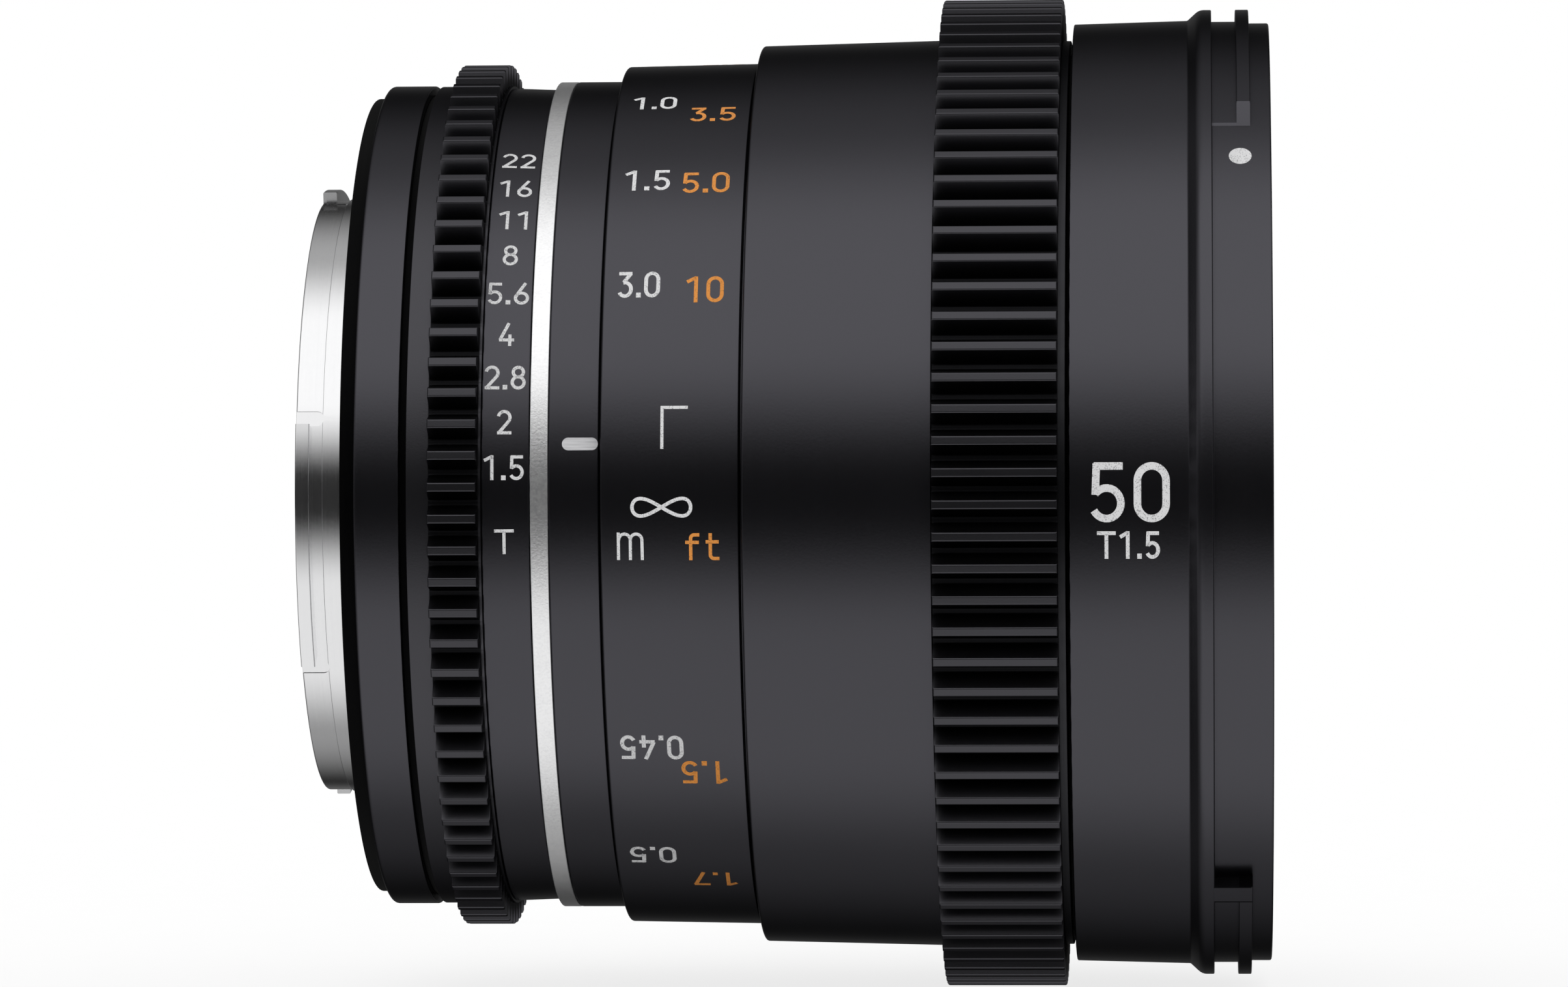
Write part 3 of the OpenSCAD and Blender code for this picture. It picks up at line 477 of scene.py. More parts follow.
# screw head: a dome that falls with the square of the distance from its middle, on a round grid, sunk
# where the two arms of its cross run
def screwShell(turn):
    h = screwHead
    ring = bayonet["screwRing"]
    q = np.concatenate([np.linspace(0, 0.96, 33), [1.0, 1.0]])[:, None] * h["r"]
    a = np.linspace(0, 2 * math.pi, h["count"], endpoint=False)[None, :]
    u, v = q * np.cos(a), q * np.sin(a)
    lift = h["dome"] * (1 - (q / h["r"]) ** 2)
    narrow = np.minimum(np.abs(u), np.abs(v))
    wide = np.maximum(np.abs(u), np.abs(v))
    arm = (np.clip((h["armHalf"] - narrow) / h["armSide"], 0, 1)
           * np.clip((h["armReach"] - wide) / h["armEnd"], 0, 1))
    x = h["sunk"] - lift + h["armDeep"] * arm
    x[-1] = h["foot"]
    cy, cz = -ring * math.cos(math.radians(turn)), ring * math.sin(math.radians(turn))
    grid = np.stack([x + 0 * a, cy + u, cz + v], -1)
    foot = np.broadcast_to([h["foot"], cy, cz], (1, h["count"], 3))
    quads = gridQuads(len(q) + 1, h["count"], False, True)
    return outward(np.concatenate([grid, foot]).reshape(-1, 3), quads)


addPiece("mountScrews", joined(*[screwShell(turn) for turn in bayonet["screwTurns"]]),
         screwSteel, "barrel", ["mount_screws"])

rearShell = {
    "lip": 33.6, "outer": 34.65, "back": -0.35, "step": 0.85, "width": 4.56,
    "bore": 32.6, "web": 27.5, "webFrom": 1.8, "webTo": 3.0, "seat": 32.05,
}


def makeRearShell():
    s = rearShell
    return turned(softOutline([
        (s["webTo"], s["web"]), (s["webFrom"], s["web"]), (s["webFrom"], s["seat"]),
        (s["back"], s["seat"]), (s["back"], s["lip"], 0.16), (s["step"], s["lip"], 0.06),
        (s["step"], s["outer"], 0.32), (s["width"], s["outer"], 0.12), (s["width"], s["bore"]),
        (s["webTo"], s["bore"]),
    ]))


addPiece("rearShell", makeRearShell(), satinBlack, "barrel", ["rear_shell"])

# near-black skin on the lip, an angle section just proud of the shell: its darkness is painted shade beside the
# mount
lipShadeSkin = {"back": -0.345, "face": -0.1, "to": 0.84, "inner": 32.3, "under": 33.3, "outer": 33.615}


def makeLipShadeSkin():
    s = lipShadeSkin
    return turned(softOutline([
        (s["back"], s["inner"]), (s["back"], s["outer"], 0.15), (s["to"], s["outer"]), (s["to"], s["under"]),
        (s["face"], s["under"]), (s["face"], s["inner"]),
    ], 0.02, 4))


addPiece("lipShadeSkin", makeLipShadeSkin(), deepBlack, "barrel")
print("rear end made")


# gear: one tooth is a trapezoid with rounded corners given as (share of the pitch, radius), repeated
# round the axis; the rows along x hold the radius down near both ends, and the last rows close the bore
def gearShell(g):
    pitch = 2 * math.pi / g["teeth"]
    root = g["pitchR"] - 1.25 * g["module"]
    tip = g["pitchR"] + g["module"]
    flat = (math.pi * g["module"] / 2 - 2 * g["module"] * math.tan(math.radians(20))) / 2
    foot = (math.pi * g["module"] / 2 + 2.5 * g["module"] * math.tan(math.radians(20))) / 2
    space = pitch * g["pitchR"] / 2
    fillet = g["fillet"]
    half = softOutline([
        (-space, root - 2), (-space, root), (-foot, root, fillet), (-flat, tip, g["edge"]),
        (flat, tip, g["edge"]), (foot, root, fillet), (space, root), (space, root - 2),
    ], 0.02, 6)
    inside = half[(half[:, 1] > root - 0.001) & (np.abs(half[:, 0]) < space - 0.001)]
    inside = np.concatenate([[[-space, root]], inside])
    inside = inside[np.argsort(inside[:, 0], kind="stable")]
    teeth = np.arange(g["teeth"])[:, None] * pitch + math.radians(g["phase"])
    turn = (teeth + inside[None, :, 0] / inside[None, :, 1]).reshape(-1)
    full = np.tile(inside[:, 1], g["teeth"])
    q = g["round"]
    sweep = np.linspace(0, math.pi / 2, 6)
    x0, x1 = g["from"], g["to"]
    xs = np.concatenate([
        x0 + q - q * np.cos(sweep), [x0 + q + 0.1, x1 - q - 0.1], x1 - q + q * np.sin(sweep)])
    top = np.concatenate([tip - q + q * np.sin(sweep), [tip, tip], tip - q + q * np.cos(sweep)])
    rows = [around(x, np.minimum(full, t), turn) for x, t in zip(xs, top)]
    low = g["bandR"]
    before = [around(x, np.full_like(full, r), turn) for x, r in [(g["start"], g["bore"])] + g["bandRear"]]
    after = [around(x, np.full_like(full, r), turn) for x, r in g["bandFront"] + [(g["stop"], g["bore"])]]
    face0 = [around(x0, np.minimum(full, low), turn)]
    face1 = [around(x1, np.minimum(full, low), turn)]
    grid = np.stack(before + face0 + rows + face1 + after)
    return outward(grid.reshape(-1, 3), gridQuads(len(grid), len(turn), True, True))


apertureGear = {
    "teeth": 89, "module": 0.8, "pitchR": 35.6, "phase": 0.95, "from": 7.0, "to": 10.95, "round": 0.14,
    "edge": 0.13, "fillet": 0.14, "bore": 33.95, "bandR": 34.6, "start": 5.17, "stop": 11.2,
    "bandRear": [(5.17, 34.5), (6.9, 34.5)],
    "bandFront": [(11.05, 34.6), (11.18, 34.6), (11.2, 34.55)],
}
focusGear = {
    "teeth": 102, "module": 0.8, "pitchR": 40.8, "phase": -1.31, "from": 47.7, "to": 57.7, "round": 0.14,
    "edge": 0.13, "fillet": 0.14, "bore": 38.15, "bandR": 39.79, "start": 47.7, "stop": 57.7,
    "bandRear": [(47.7, 38.4), (47.7, 39.6)], "bandFront": [(57.7, 39.6), (57.7, 38.4)],
}
addPiece("apertureGear", gearShell(apertureGear), apertureGearBlack, "aperture_control",
         ["aperture_gear"], 30)
addPiece("focusGear", gearShell(focusGear), focusGearBlack, "focus_control",
         ["focus_gear"], 30)


# a plain ring with a rounding at either outer corner
def plainRing(r, radius=0.05, steps=4):
    return turned(softOutline([
        (r["from"], r["bore"]), (r["from"], r["outer"], r["rounds"][0]),
        (r["to"], r["outer"], r["rounds"][1]), (r["to"], r["bore"]),
    ], radius, steps))


# the plain band behind the aperture teeth, turned smooth
apertureBand = {"from": 5.15, "to": 6.995, "bore": 34.3, "outer": 34.604, "rounds": (0.05, 0.02)}
addPiece("apertureBand", plainRing(apertureBand, 0.02), apertureGearBlack, "aperture_control")
print("gears made")

apertureRing = {
    "bore": 32.6, "seat": 33.9, "from": 5.15, "scaleFrom": 11.2, "scaleTo": 15.1, "r0": 34.42, "r1": 34.27,
}


def makeApertureRing():
    a = apertureRing
    return turned(softOutline([
        (a["from"], a["bore"]), (a["from"], a["seat"]), (a["scaleFrom"], a["seat"]),
        (a["scaleFrom"], a["r0"], 0.12), (a["scaleTo"], a["r1"], 0.12), (a["scaleTo"], a["bore"]),
    ]))


addPiece("apertureScale", makeApertureRing(), satinBlack, "aperture_control",
         ["aperture_ring"])

trimRing = {"from": 15.2, "to": 16.65, "bore": 33.47, "outer": 34.92, "rounds": (0.08, 0.08)}
addPiece("trimRing", plainRing(trimRing), satinSilver, "barrel", ["trim_ring"])

indexBarrel = {"from": 16.65, "to": 20.78, "bore": 33.47, "outer": 34.92, "bevel": 0.14}


def makeIndexBarrel():
    b = indexBarrel
    return turned(softOutline([
        (b["from"], b["bore"]), (b["from"], b["outer"] - b["bevel"], 0.04),
        (b["from"] + b["bevel"], b["outer"], 0.06), (b["to"], b["outer"], 0.12), (b["to"], b["bore"]),
    ]))


addPiece("indexBarrel", makeIndexBarrel(), satinBlack, "barrel", ["index_barrel"])

scaleRing = {
    "from": 20.95, "to": 32.13, "bore": 34.05, "r0": 36.17, "r1": 36.37, "spigot": 35.22, "spigotTo": 33.93,
}


def makeScaleRing():
    s = scaleRing
    return turned(softOutline([
        (s["from"], s["bore"]), (s["from"], s["r0"], 0.22), (s["to"], s["r1"], 0.12), (s["to"], s["spigot"]),
        (s["spigotTo"], s["spigot"]), (s["spigotTo"], s["bore"]),
    ], 0.05, 6))


addPiece("distanceScale", makeScaleRing(), satinBlack, "focus_control",
         ["distance_scale_ring"])

focusBarrel = {
    "from": 32.39, "gear": 47.7, "to": 58.35, "bore": 34.05, "r0": 37.85, "r1": 38.22, "neck": 38.1,
    "seat": 34.03, "seatR": 35.27,
}


def makeFocusBarrel():
    f = focusBarrel
    return turned(softOutline([
        (f["seat"], f["bore"]), (f["seat"], f["seatR"]), (f["from"], f["seatR"]), (f["from"], f["r0"], 0.22),
        (f["gear"] - 0.12, f["r1"], 0.15), (f["gear"] - 0.1, f["neck"]),
        (f["to"], f["neck"], 0.12), (f["to"], f["bore"]),
    ], 0.05, 6))


addPiece("focusBarrel", makeFocusBarrel(), satinBlack, "focus_control", ["focus_barrel"])

# a thin ring over the neck in the darker groove finish, painted shade in the recess
focusNeck = {"from": 57.6, "to": 58.34, "bore": 37.9, "outer": 38.12, "rounds": (0.02, 0.08)}
addPiece("focusNeck", plainRing(focusNeck, 0.02, 3), grooveShadeBlack, "focus_control")
print("rings made")

# front barrel: a turned nose with the hood ridge, and two hood rails that are arcs of bar on it
frontBarrel = {
    "from": 58.6, "to": 74.9, "r0": 39.5, "r1": 39.75,
    "ridge": 40.65, "ridgeFrom": 68.1, "ridgeTop": 69.08, "ridgeTo": 70.1,
    "nose": 39.5, "thread": 38.1, "threadFrom": 70.2, "bore": 36.6, "inner": 31.3, "webTo": 60.0,
    "floor": 39.65, "railFrom": 72.1, "railTo": 73.2, "railStart": 51.3, "railStop": 124.6, "stopEnd": 127.8,
    "rampFoot": 48.7, "lead": 0.35,
}


def makeFrontBarrel():
    f = frontBarrel
    nose = turned(softOutline([
        (f["from"], f["inner"]), (f["from"], f["r0"], 0.1), (f["ridgeFrom"], f["r1"], 0.25),
        (f["ridgeTop"], f["ridge"], 1.0), (f["ridgeTo"], f["ridge"], 0.10), (f["ridgeTo"], f["nose"], 0.06),
        (f["to"], f["nose"], 0.18), (f["to"], f["thread"] + 0.3, 0.08), (f["to"] - 0.4, f["thread"], 0.08),
        (f["threadFrom"], f["thread"]), (f["threadFrom"], f["bore"]), (f["webTo"], f["bore"]),
        (f["webTo"], f["inner"]),
    ]))
    low = f["nose"] - 0.5
    back, x0, x1 = f["ridgeTo"] - 0.1, f["railFrom"], f["railTo"]
    floor = softOutline([(back, low), (back, f["floor"]), (x1, f["floor"]), (x1, low)], 0.03, 2)
    rail = softOutline([(x0, low), (x0, f["ridge"], 0.07), (x1, f["ridge"], 0.07), (x1, low)], 0.02, 3)
    stop = softOutline([(back, low), (back, f["ridge"], 0.07), (x1, f["ridge"], 0.07), (x1, low)], 0.02, 3)

    def ramp(angle, r):
        lift = np.clip((angle - f["rampFoot"]) / (f["railStart"] - f["rampFoot"]), 0, 1)
        return np.minimum(r, f["nose"] + (f["ridge"] - f["nose"]) * lift + 0.01)

    def lead(angle, r):
        lift = np.clip((angle - f["rampFoot"]) / f["lead"], 0, 1)
        return np.minimum(r, f["nose"] + (f["floor"] - f["nose"]) * lift + 0.01)

    shells = [nose]
    for half in (0, 180):
        floorStart = f["rampFoot"] + f["lead"] + half
        shells.append(arcBar(floor, floorStart, f["stopEnd"] + half, 90))
        shells.append(arcBar(floor, f["rampFoot"] + half, floorStart, 6,
                             lambda angle, r: lead(angle - half, r)))
        shells.append(arcBar(rail, f["railStart"] + half, f["stopEnd"] + half, 90))
        shells.append(arcBar(rail, f["rampFoot"] + half, f["railStart"] + half, 12,
                             lambda angle, r: ramp(angle - half, r)))
        shells.append(arcBar(stop, f["railStop"] + half, f["stopEnd"] + half, 12))
    return joined(*shells)


addPiece("frontBarrel", makeFrontBarrel(), satinBlack, "barrel", ["front_barrel"])


# filter thread: the radius falls and rises with the distance along the axis plus the turn, one pitch each
# time round, and the ridges fade out over the run at either end
filterThread = {
    "from": 70.35, "to": 74.5, "pitch": 0.75, "crest": 37.75, "root": 38.08, "back": 38.4,
    "run": 0.4, "count": 240,
}


def makeThread():
    t = filterThread
    turn = np.linspace(0, 2 * math.pi, t["count"], endpoint=False)[None, :]
    x = np.linspace(t["from"], t["to"], 56)[:, None]
    wave = np.abs(((x / t["pitch"] + turn / (2 * math.pi)) % 1.0) - 0.5) * 2
    fade = np.clip(np.minimum(x - t["from"], t["to"] - x) / t["run"], 0, 1)
    r = t["root"] - (t["root"] - t["crest"]) * wave * fade
    back = around(np.array([[t["to"]], [t["from"]]]), np.full((2, 1), t["back"]), turn)
    grid = np.concatenate([around(x, r, turn), back])
    return outward(grid.reshape(-1, 3), gridQuads(len(grid), t["count"], True, True))


addPiece("filterThread", makeThread(), satinBlack, "barrel", sharp=60)
print("front end made")


# pieces seen through the glass, turned from their sections (x, r)
def makeInner(name, node, finish, corners):
    addPiece(name, turned(softOutline(corners, 0.04, 3), 240), finish, "optical_cell", [node])


bezelSteps = {"count": 7, "outer": 35.0, "run": 1.243, "face": 61.9, "deep": 0.45}


def bezelCorners():
    b = bezelSteps
    treads = [(b["face"] - b["deep"] * j, b["outer"] - b["run"] * (i + 0.6 * j), 0.03)
              for i in range(b["count"]) for j in (0, 1)]
    rim = [(58.63, 27.05), (58.63, 28.6), (60.4, 28.6), (60.4, 36.2, 0.1), (62.6, 36.2, 0.15), (62.6, 35.4, 0.1)]
    mouth = [(b["face"], 26.0, 0.08), (60.5, 24.3, 0.1), (60.4, 24.6), (60.4, 27.05)]
    return rim + treads + mouth


makeInner("frontBezel", "front_bezel", mattBlack, bezelCorners())
makeInner("frontCellBarrel", "front_group_barrel", mattBlack, [
    (32.0, 16.35), (32.0, 27.0), (57.0, 27.0), (57.0, 30.4), (58.6, 30.4), (58.6, 27.0), (60.4, 27.0),
    (60.4, 25.05), (58.9, 23.55), (52.47, 23.55), (52.47, 21.55), (43.92, 21.55), (43.92, 18.55),
    (33.68, 18.55), (33.68, 16.35)])
makeInner("frontGlassRing", "front_lens_retainer", mattBlack, [
    (54.17, 22.5), (54.17, 23.5), (56.57, 23.5), (56.57, 23.0)])
makeInner("frontSpacer", "front_spacer", mattBlack, [
    (46.26, 20.4), (46.26, 21.5), (52.4, 21.5), (52.4, 20.4)])
makeInner("doubletRing", "doublet_retainer", mattBlack, [
    (40.68, 17.2), (40.68, 18.5), (41.98, 18.5), (41.98, 17.2)])
makeInner("rearGlassRing", "rear_retainer", mattBlack, [
    (1.1, 14.8), (1.1, 16.0), (2.1, 16.0), (2.1, 14.8)])
makeInner("rearCellBarrel", "rear_group_barrel", mattBlack, [
    (1.0, 16.05), (1.0, 21.05, 0.2), (25.0, 21.05), (25.0, 27.3), (27.0, 27.3), (27.0, 14.15), (25.52, 14.15),
    (25.52, 16.05)])
baffle = softOutline([
    (-4.6, 19.8, 0.1), (-4.6, 23.0, 0.15), (1.2, 23.0), (1.2, 22.1), (-3.4, 21.8), (-3.8, 19.8, 0.1)], 0.05, 3)
addPiece("rearBaffle", turned(baffle, 240), mattBlack, "barrel", ["rear_baffle"])

# glass: vertex of the first surface, thickness, the two radii of curvature (0 is flat), half width
elements = [
    (58.30, 5.80, 62, 0, 23.5), (52.10, 5.00, 38, 75, 21.5), (46.00, 4.50, 30, 60, 18.5),
    (41.47, 1.47, 60, 24, 18.5), (21.20, 1.50, -24, 80, 16.0), (19.67, 7.00, 80, -38, 16.0),
    (12.30, 5.00, 90, -55, 16.0), (7.27, 1.47, -55, 0, 16.0), (5.40, 3.20, 60, 0, 16.0),
]


rimWidth = 2.3


# a surface drops by r - sqrt(r r - d d) at the distance d from the axis; a hollow one ends in a flat rim
def surfaceLine(vertex, r, half, hollow):
    reach = half - rimWidth if hollow else half
    d = np.linspace(0, 1, 26) * reach
    drop = 0 * d if r == 0 else r - np.sign(r) * np.sqrt(r * r - d * d)
    line = np.stack([vertex - drop, d], -1)
    return np.concatenate([line, [[line[-1, 0], half]]]) if hollow else line


def makeElement(vertex, thick, r1, r2, half):
    ahead = surfaceLine(vertex, r1, half, r1 < 0)
    behind = surfaceLine(vertex - thick, r2, half, 0 < r2 < 30)
    return turned(np.concatenate([ahead, behind[::-1]]), 160)


for number, element in enumerate(elements, 1):
    addPiece("glass%d" % number, makeElement(*element), coatedGlass if number in (1, 9) else innerGlass,
             "optical_cell", ["lens_element_%d" % number], 30)
print("glass made")

# what stays as drawn gets its finish
plainFinish = {
    innerAlloy: ["main_tube", "helicoid_retainer", "iris_housing", "iris_cover"],
    brassParts: ["helicoid_ring", "cell_sleeve", "drive_keys", "guide_keys", "aperture_lever", "iris_cam_ring"],
    screwSteel: ["front_screws", "cell_screws", "rear_group_screws"],
    bladeSteel: ["iris_blade_%d" % i for i in range(1, 10)],
    deepBlack: ["aperture_washer", "rear_thrust_washer", "front_thrust_washer"],
    mattBlack: ["rear_spacer_1", "rear_spacer_2"],
}
for finish, names in plainFinish.items():
    for name in names:
        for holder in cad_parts[name].material_slots:
            holder.material = finish
print("carried-over nodes finished")


# figures: strokes in a box one high, each a line of points with a width
def oval(cx, cy, rx, ry, start, stop, count=22):
    a = np.radians(np.linspace(start, stop, count))
    return np.stack([cx + rx * np.cos(a), cy + ry * np.sin(a)], -1)


def line(*points):
    return np.array(points, float)


oneInk = 0.42


# each sign: its width and its strokes as (points, share of the stroke width, closed); s is the stroke width
def glyphTable(s):
    h = s / 2
    w, t = 0.62, 1 - h
    c, rx = w / 2, w / 2 - h
    ring = np.concatenate([oval(c, t - rx, rx, rx, 0, 180), oval(c, h + rx, rx, rx, 180, 360)])
    eight = 0.46 - h
    return {
        "0": (w, [(ring, 1, True)]),
        "1": (0.60, [(line((oneInk - h, 1), (oneInk - h, 0)), 1, False),
                     (line((0.03, 0.79), (oneInk - h, 0.955)), 1, False)]),
        "2": (w, [(np.concatenate([oval(c, t - rx, rx, rx, 168, -38), [[0.09, h]]]), 1, False),
                  (line((0.02, h), (w, h)), 1, False)]),
        "3": (w, [(line((0.05, t), (w - 0.04, t)), 1, False), (line((w - 0.09, t), (0.25, 0.60)), 1, False),
                  (oval(c - 0.01, h + 0.26, rx, 0.26, 108, -152), 1, False)]),
        "4": (w, [(line((0.40, 1), (0.06, 0.27)), 1, False), (line((0.02, 0.26), (w, 0.26)), 1, False),
                  (line((0.45, 0.50), (0.45, 0)), 1, False)]),
        "5": (w, [(line((w - 0.04, t), (0.08, t)), 1, False), (line((0.125, 0.98), (0.105, 0.46)), 1, False),
                  (oval(c - 0.01, h + 0.255, rx, 0.255, 142, -152), 1, False)]),
        "6": (w, [(oval(c, h + 0.235, rx, 0.235, 0, 360)[:-1], 1, True),
                  (line((0.46, 1), (0.30, 0.74), (0.17, 0.53), (0.085, 0.36)), 1, False)]),
        "7": (w, [(line((0.0, t), (w, t)), 1, False), (line((w - 0.05, t), (0.22, 0)), 1, False)]),
        "8": (w, [(oval(c, t - 0.205, rx - 0.035, 0.205, 0, 360)[:-1], 1, True),
                  (oval(c, h + 0.235, rx, 0.235, 0, 360)[:-1], 1, True)]),
        ".": (0.19, [(line((0, 0.095), (0.19, 0.095)), 0.19 / s, False)]),
        "T": (0.79, [(line((0, t), (0.79, t)), 1, False), (line((0.395, t), (0.395, 0)), 1, False)]),
        "m": (0.98, [(line((h, 1), (h, 0)), 1, False),
                     (np.concatenate([oval(0.278, 0.72, 0.213, t - 0.72, 180, 0), [[0.49, 0]]]), 1, False),
                     (np.concatenate([oval(0.703, 0.72, 0.213, t - 0.72, 180, 0), [[0.98 - h, 0]]]), 1, False)]),
        "f": (0.52, [(np.concatenate([[[0.52, t]], oval(0.33, 0.80, 0.13, t - 0.80, 90, 180), [[0.20, 0]]]),
                      1, False),
                     (line((0, 0.66), (0.50, 0.66)), 1, False)]),
        "t": (0.50, [(np.concatenate([[[0.17, 1]], oval(0.31, 0.20, 0.14, 0.20 - h, 180, 270), [[0.50, h]]]),
                      1, False),
                     (line((0, 0.68), (0.48, 0.68)), 1, False)]),
    }


strokeSpec = {"step": 0.22, "proud": 0.012, "sunk": -0.05}


# a stroke: a flat bar section carried along its line, mitred at the bends, wrapped on the surface of a
# ring whose radius runs from one end to the other; u goes along the lens and the turn round it
def strokeShell(points, width, closed, place):
    seg = np.diff(np.concatenate([points, points[:1]]) if closed else points, axis=0)
    size = np.linalg.norm(seg, axis=1)
    cuts = np.maximum(np.ceil(size / strokeSpec["step"]).astype(int), 1)
    share = np.concatenate([np.arange(n) / n for n in cuts])
    base = np.repeat(np.arange(len(cuts)), cuts)
    path = points[base] + seg[base] * share[:, None]
    if not closed:
        path = np.concatenate([path, points[-1:]])
    ahead = np.roll(path, -1, 0) - path
    back = path - np.roll(path, 1, 0)
    if not closed:
        ahead[-1] = back[-1]
        back[0] = ahead[0]
    ahead /= np.linalg.norm(ahead, axis=1)[:, None]
    back /= np.linalg.norm(back, axis=1)[:, None]
    normal = np.stack([-(ahead + back)[:, 1], (ahead + back)[:, 0]], -1)
    normal /= np.linalg.norm(normal, axis=1)[:, None]
    square = np.stack([-back[:, 1], back[:, 0]], -1)
    reach = np.clip(1 / np.maximum((normal * square).sum(1), 0.4), 1, 1.8)
    side = normal * (reach * width / 2)[:, None]
    flat = np.stack([path - side, path + side, path + side, path - side], 1)
    lift = np.repeat([strokeSpec["proud"], strokeSpec["sunk"]], 2)[None, :]
    u = place["x"] + place["flip"] * flat[..., 0]
    r = np.interp(u, place["ends"], place["radii"])
    turn = math.radians(place["turn"]) + place["flip"] * flat[..., 1] / r
    shell = around(u, r + lift, turn).reshape(-1, 3)
    quads = gridQuads(len(path), 4, closed, True)
    if not closed:
        last = 4 * (len(path) - 1)
        quads = np.concatenate([quads, [[3, 2, 1, 0]], [[last, last + 1, last + 2, last + 3]]])
    return outward(shell, quads)


# a line of figures: width and height are what the ink covers, and the middle sits at x and the turn
def textShells(text, x, turn, width, height, ends, radii, weight=0.129, flip=1, gap=0.135):
    table = glyphTable(weight)
    cursor, laid = 0.0, []
    for sign in text:
        wide, strokes = table[sign]
        laid += [(points + [cursor, 0], share, closed) for points, share, closed in strokes]
        end = cursor + (oneInk if sign == "1" else wide)
        cursor += wide + gap
    place = {"x": x, "turn": turn, "ends": ends, "radii": radii, "flip": flip}
    fitted = []
    for points, share, closed in laid:
        spot = (points - [end / 2, 0.5]) * [width / end, height]
        fitted.append(strokeShell(spot, share * weight * height, closed, place))
    return fitted


apertureMarks = {
    "ends": (11.2, 15.1), "radii": (34.42, 34.27), "height": 2.0, "x": 13.05, "drift": 0.018,
    "step": 6.17, "first": 3.6, "letterTurn": -6.35, "letterWidth": 1.58, "letterWeight": 0.125,
    "stops": [("1.5", 3.28), ("2", 1.19), ("2.8", 3.34), ("4", 1.25), ("5.6", 3.40), ("8", 1.24),
              ("11", 2.38), ("16", 2.70), ("22", 2.76)],
}


def makeApertureMarks():
    m = apertureMarks
    shells = textShells("T", m["x"], m["letterTurn"], m["letterWidth"], m["height"], m["ends"], m["radii"],
                        m["letterWeight"])
    for i, (text, width) in enumerate(m["stops"]):
        shells += textShells(text, m["x"] + m["drift"] * i, m["first"] + m["step"] * i, width, m["height"],
                             m["ends"], m["radii"])
    return joined(*shells)


addPiece("apertureFigures", makeApertureMarks(), whitePaint, "aperture_control")

# distances stand at about 9 + 50 / (d - 0.08) degrees, d in metres, and again on the other side; a row is
# the text, the x of its middle, its turn and its width
distanceMarks = {
    "ends": (20.95, 32.13), "radii": (36.17, 36.37), "height": 2.38, "farWeight": 0.135,
    "metres": [("3.0", 23.85, 27.8, 3.42), ("1.5", 24.14, 44.9, 3.72), ("1.0", 24.12, 63.2, 3.60),
               ("0.7", 24.1, 89.6, 3.8), ("0.5", 24.05, 125.1, 3.80), ("0.45", 24.61, 145.5, 5.12)],
    "feet": [("10", 29.22, 27.0, 3.05), ("5.0", 28.92, 44.3, 3.88), ("3.5", 29.05, 59.5, 3.82),
             ("2.3", 29.0, 89.5, 3.8), ("1.7", 28.98, 118.9, 3.6), ("1.5", 28.79, 141.5, 3.75)],
    "loops": {"x": 25.90, "turn": -1.68, "half": (2.36, 0.70), "width": 0.28},
    "hook": {"x": 26.92, "turn": 8.47, "width": 0.25, "points": ((-0.97, -1.74), (-0.97, 1.62), (1.10, 1.62))},
}


# the second set stands opposite the first and is read from the other side of the lens, so it is upside down
def distanceText(rows):
    m = distanceMarks
    shells = []
    for text, x, turn, width in rows:
        shells += textShells(text, x, turn, width, m["height"], m["ends"], m["radii"])
        shells += textShells(text, x, turn + 180, width, m["height"], m["ends"], m["radii"],
                             m["farWeight"], -1)
    return shells


# the endless sign is the curve (sin a, sin 2a)
def makeMetres():
    m = distanceMarks
    loops, hook = m["loops"], m["hook"]
    a = np.linspace(0, 2 * math.pi, 72, endpoint=False)
    eight = np.stack([loops["half"][0] * np.sin(a), loops["half"][1] * np.sin(2 * a)], -1)
    shells = distanceText(m["metres"])
    for half, flip in ((0, 1), (180, -1)):
        spot = {"x": loops["x"], "turn": loops["turn"] + half, "flip": flip,
                "ends": m["ends"], "radii": m["radii"]}
        shells.append(strokeShell(eight, loops["width"], True, spot))
        spot = dict(spot, x=hook["x"], turn=hook["turn"] + half)
        shells.append(strokeShell(line(*hook["points"]), hook["width"], False, spot))
        shells += textShells("m", 23.38, -6.64 + half, 2.16, 2.22, m["ends"], m["radii"], 0.11, flip)
    return joined(*shells)


def makeFeet():
    m = distanceMarks
    shells = distanceText(m["feet"])
    for half, flip in ((0, 1), (180, -1)):
        shells += textShells("ft", 29.17, -6.70 + half, 2.74, 2.18, m["ends"], m["radii"], 0.125, flip, 0.23)
    return joined(*shells)


addPiece("metreFigures", makeMetres(), whitePaint, "focus_control")
addPiece("feetFigures", makeFeet(), orangePaint, "focus_control")

indexBars = {
    "x": 19.25, "length": 2.9, "half": 0.515, "turn": 6.65, "r": 34.92,
    "edge": 0.010, "crown": 0.014, "sunk": -0.05,
}


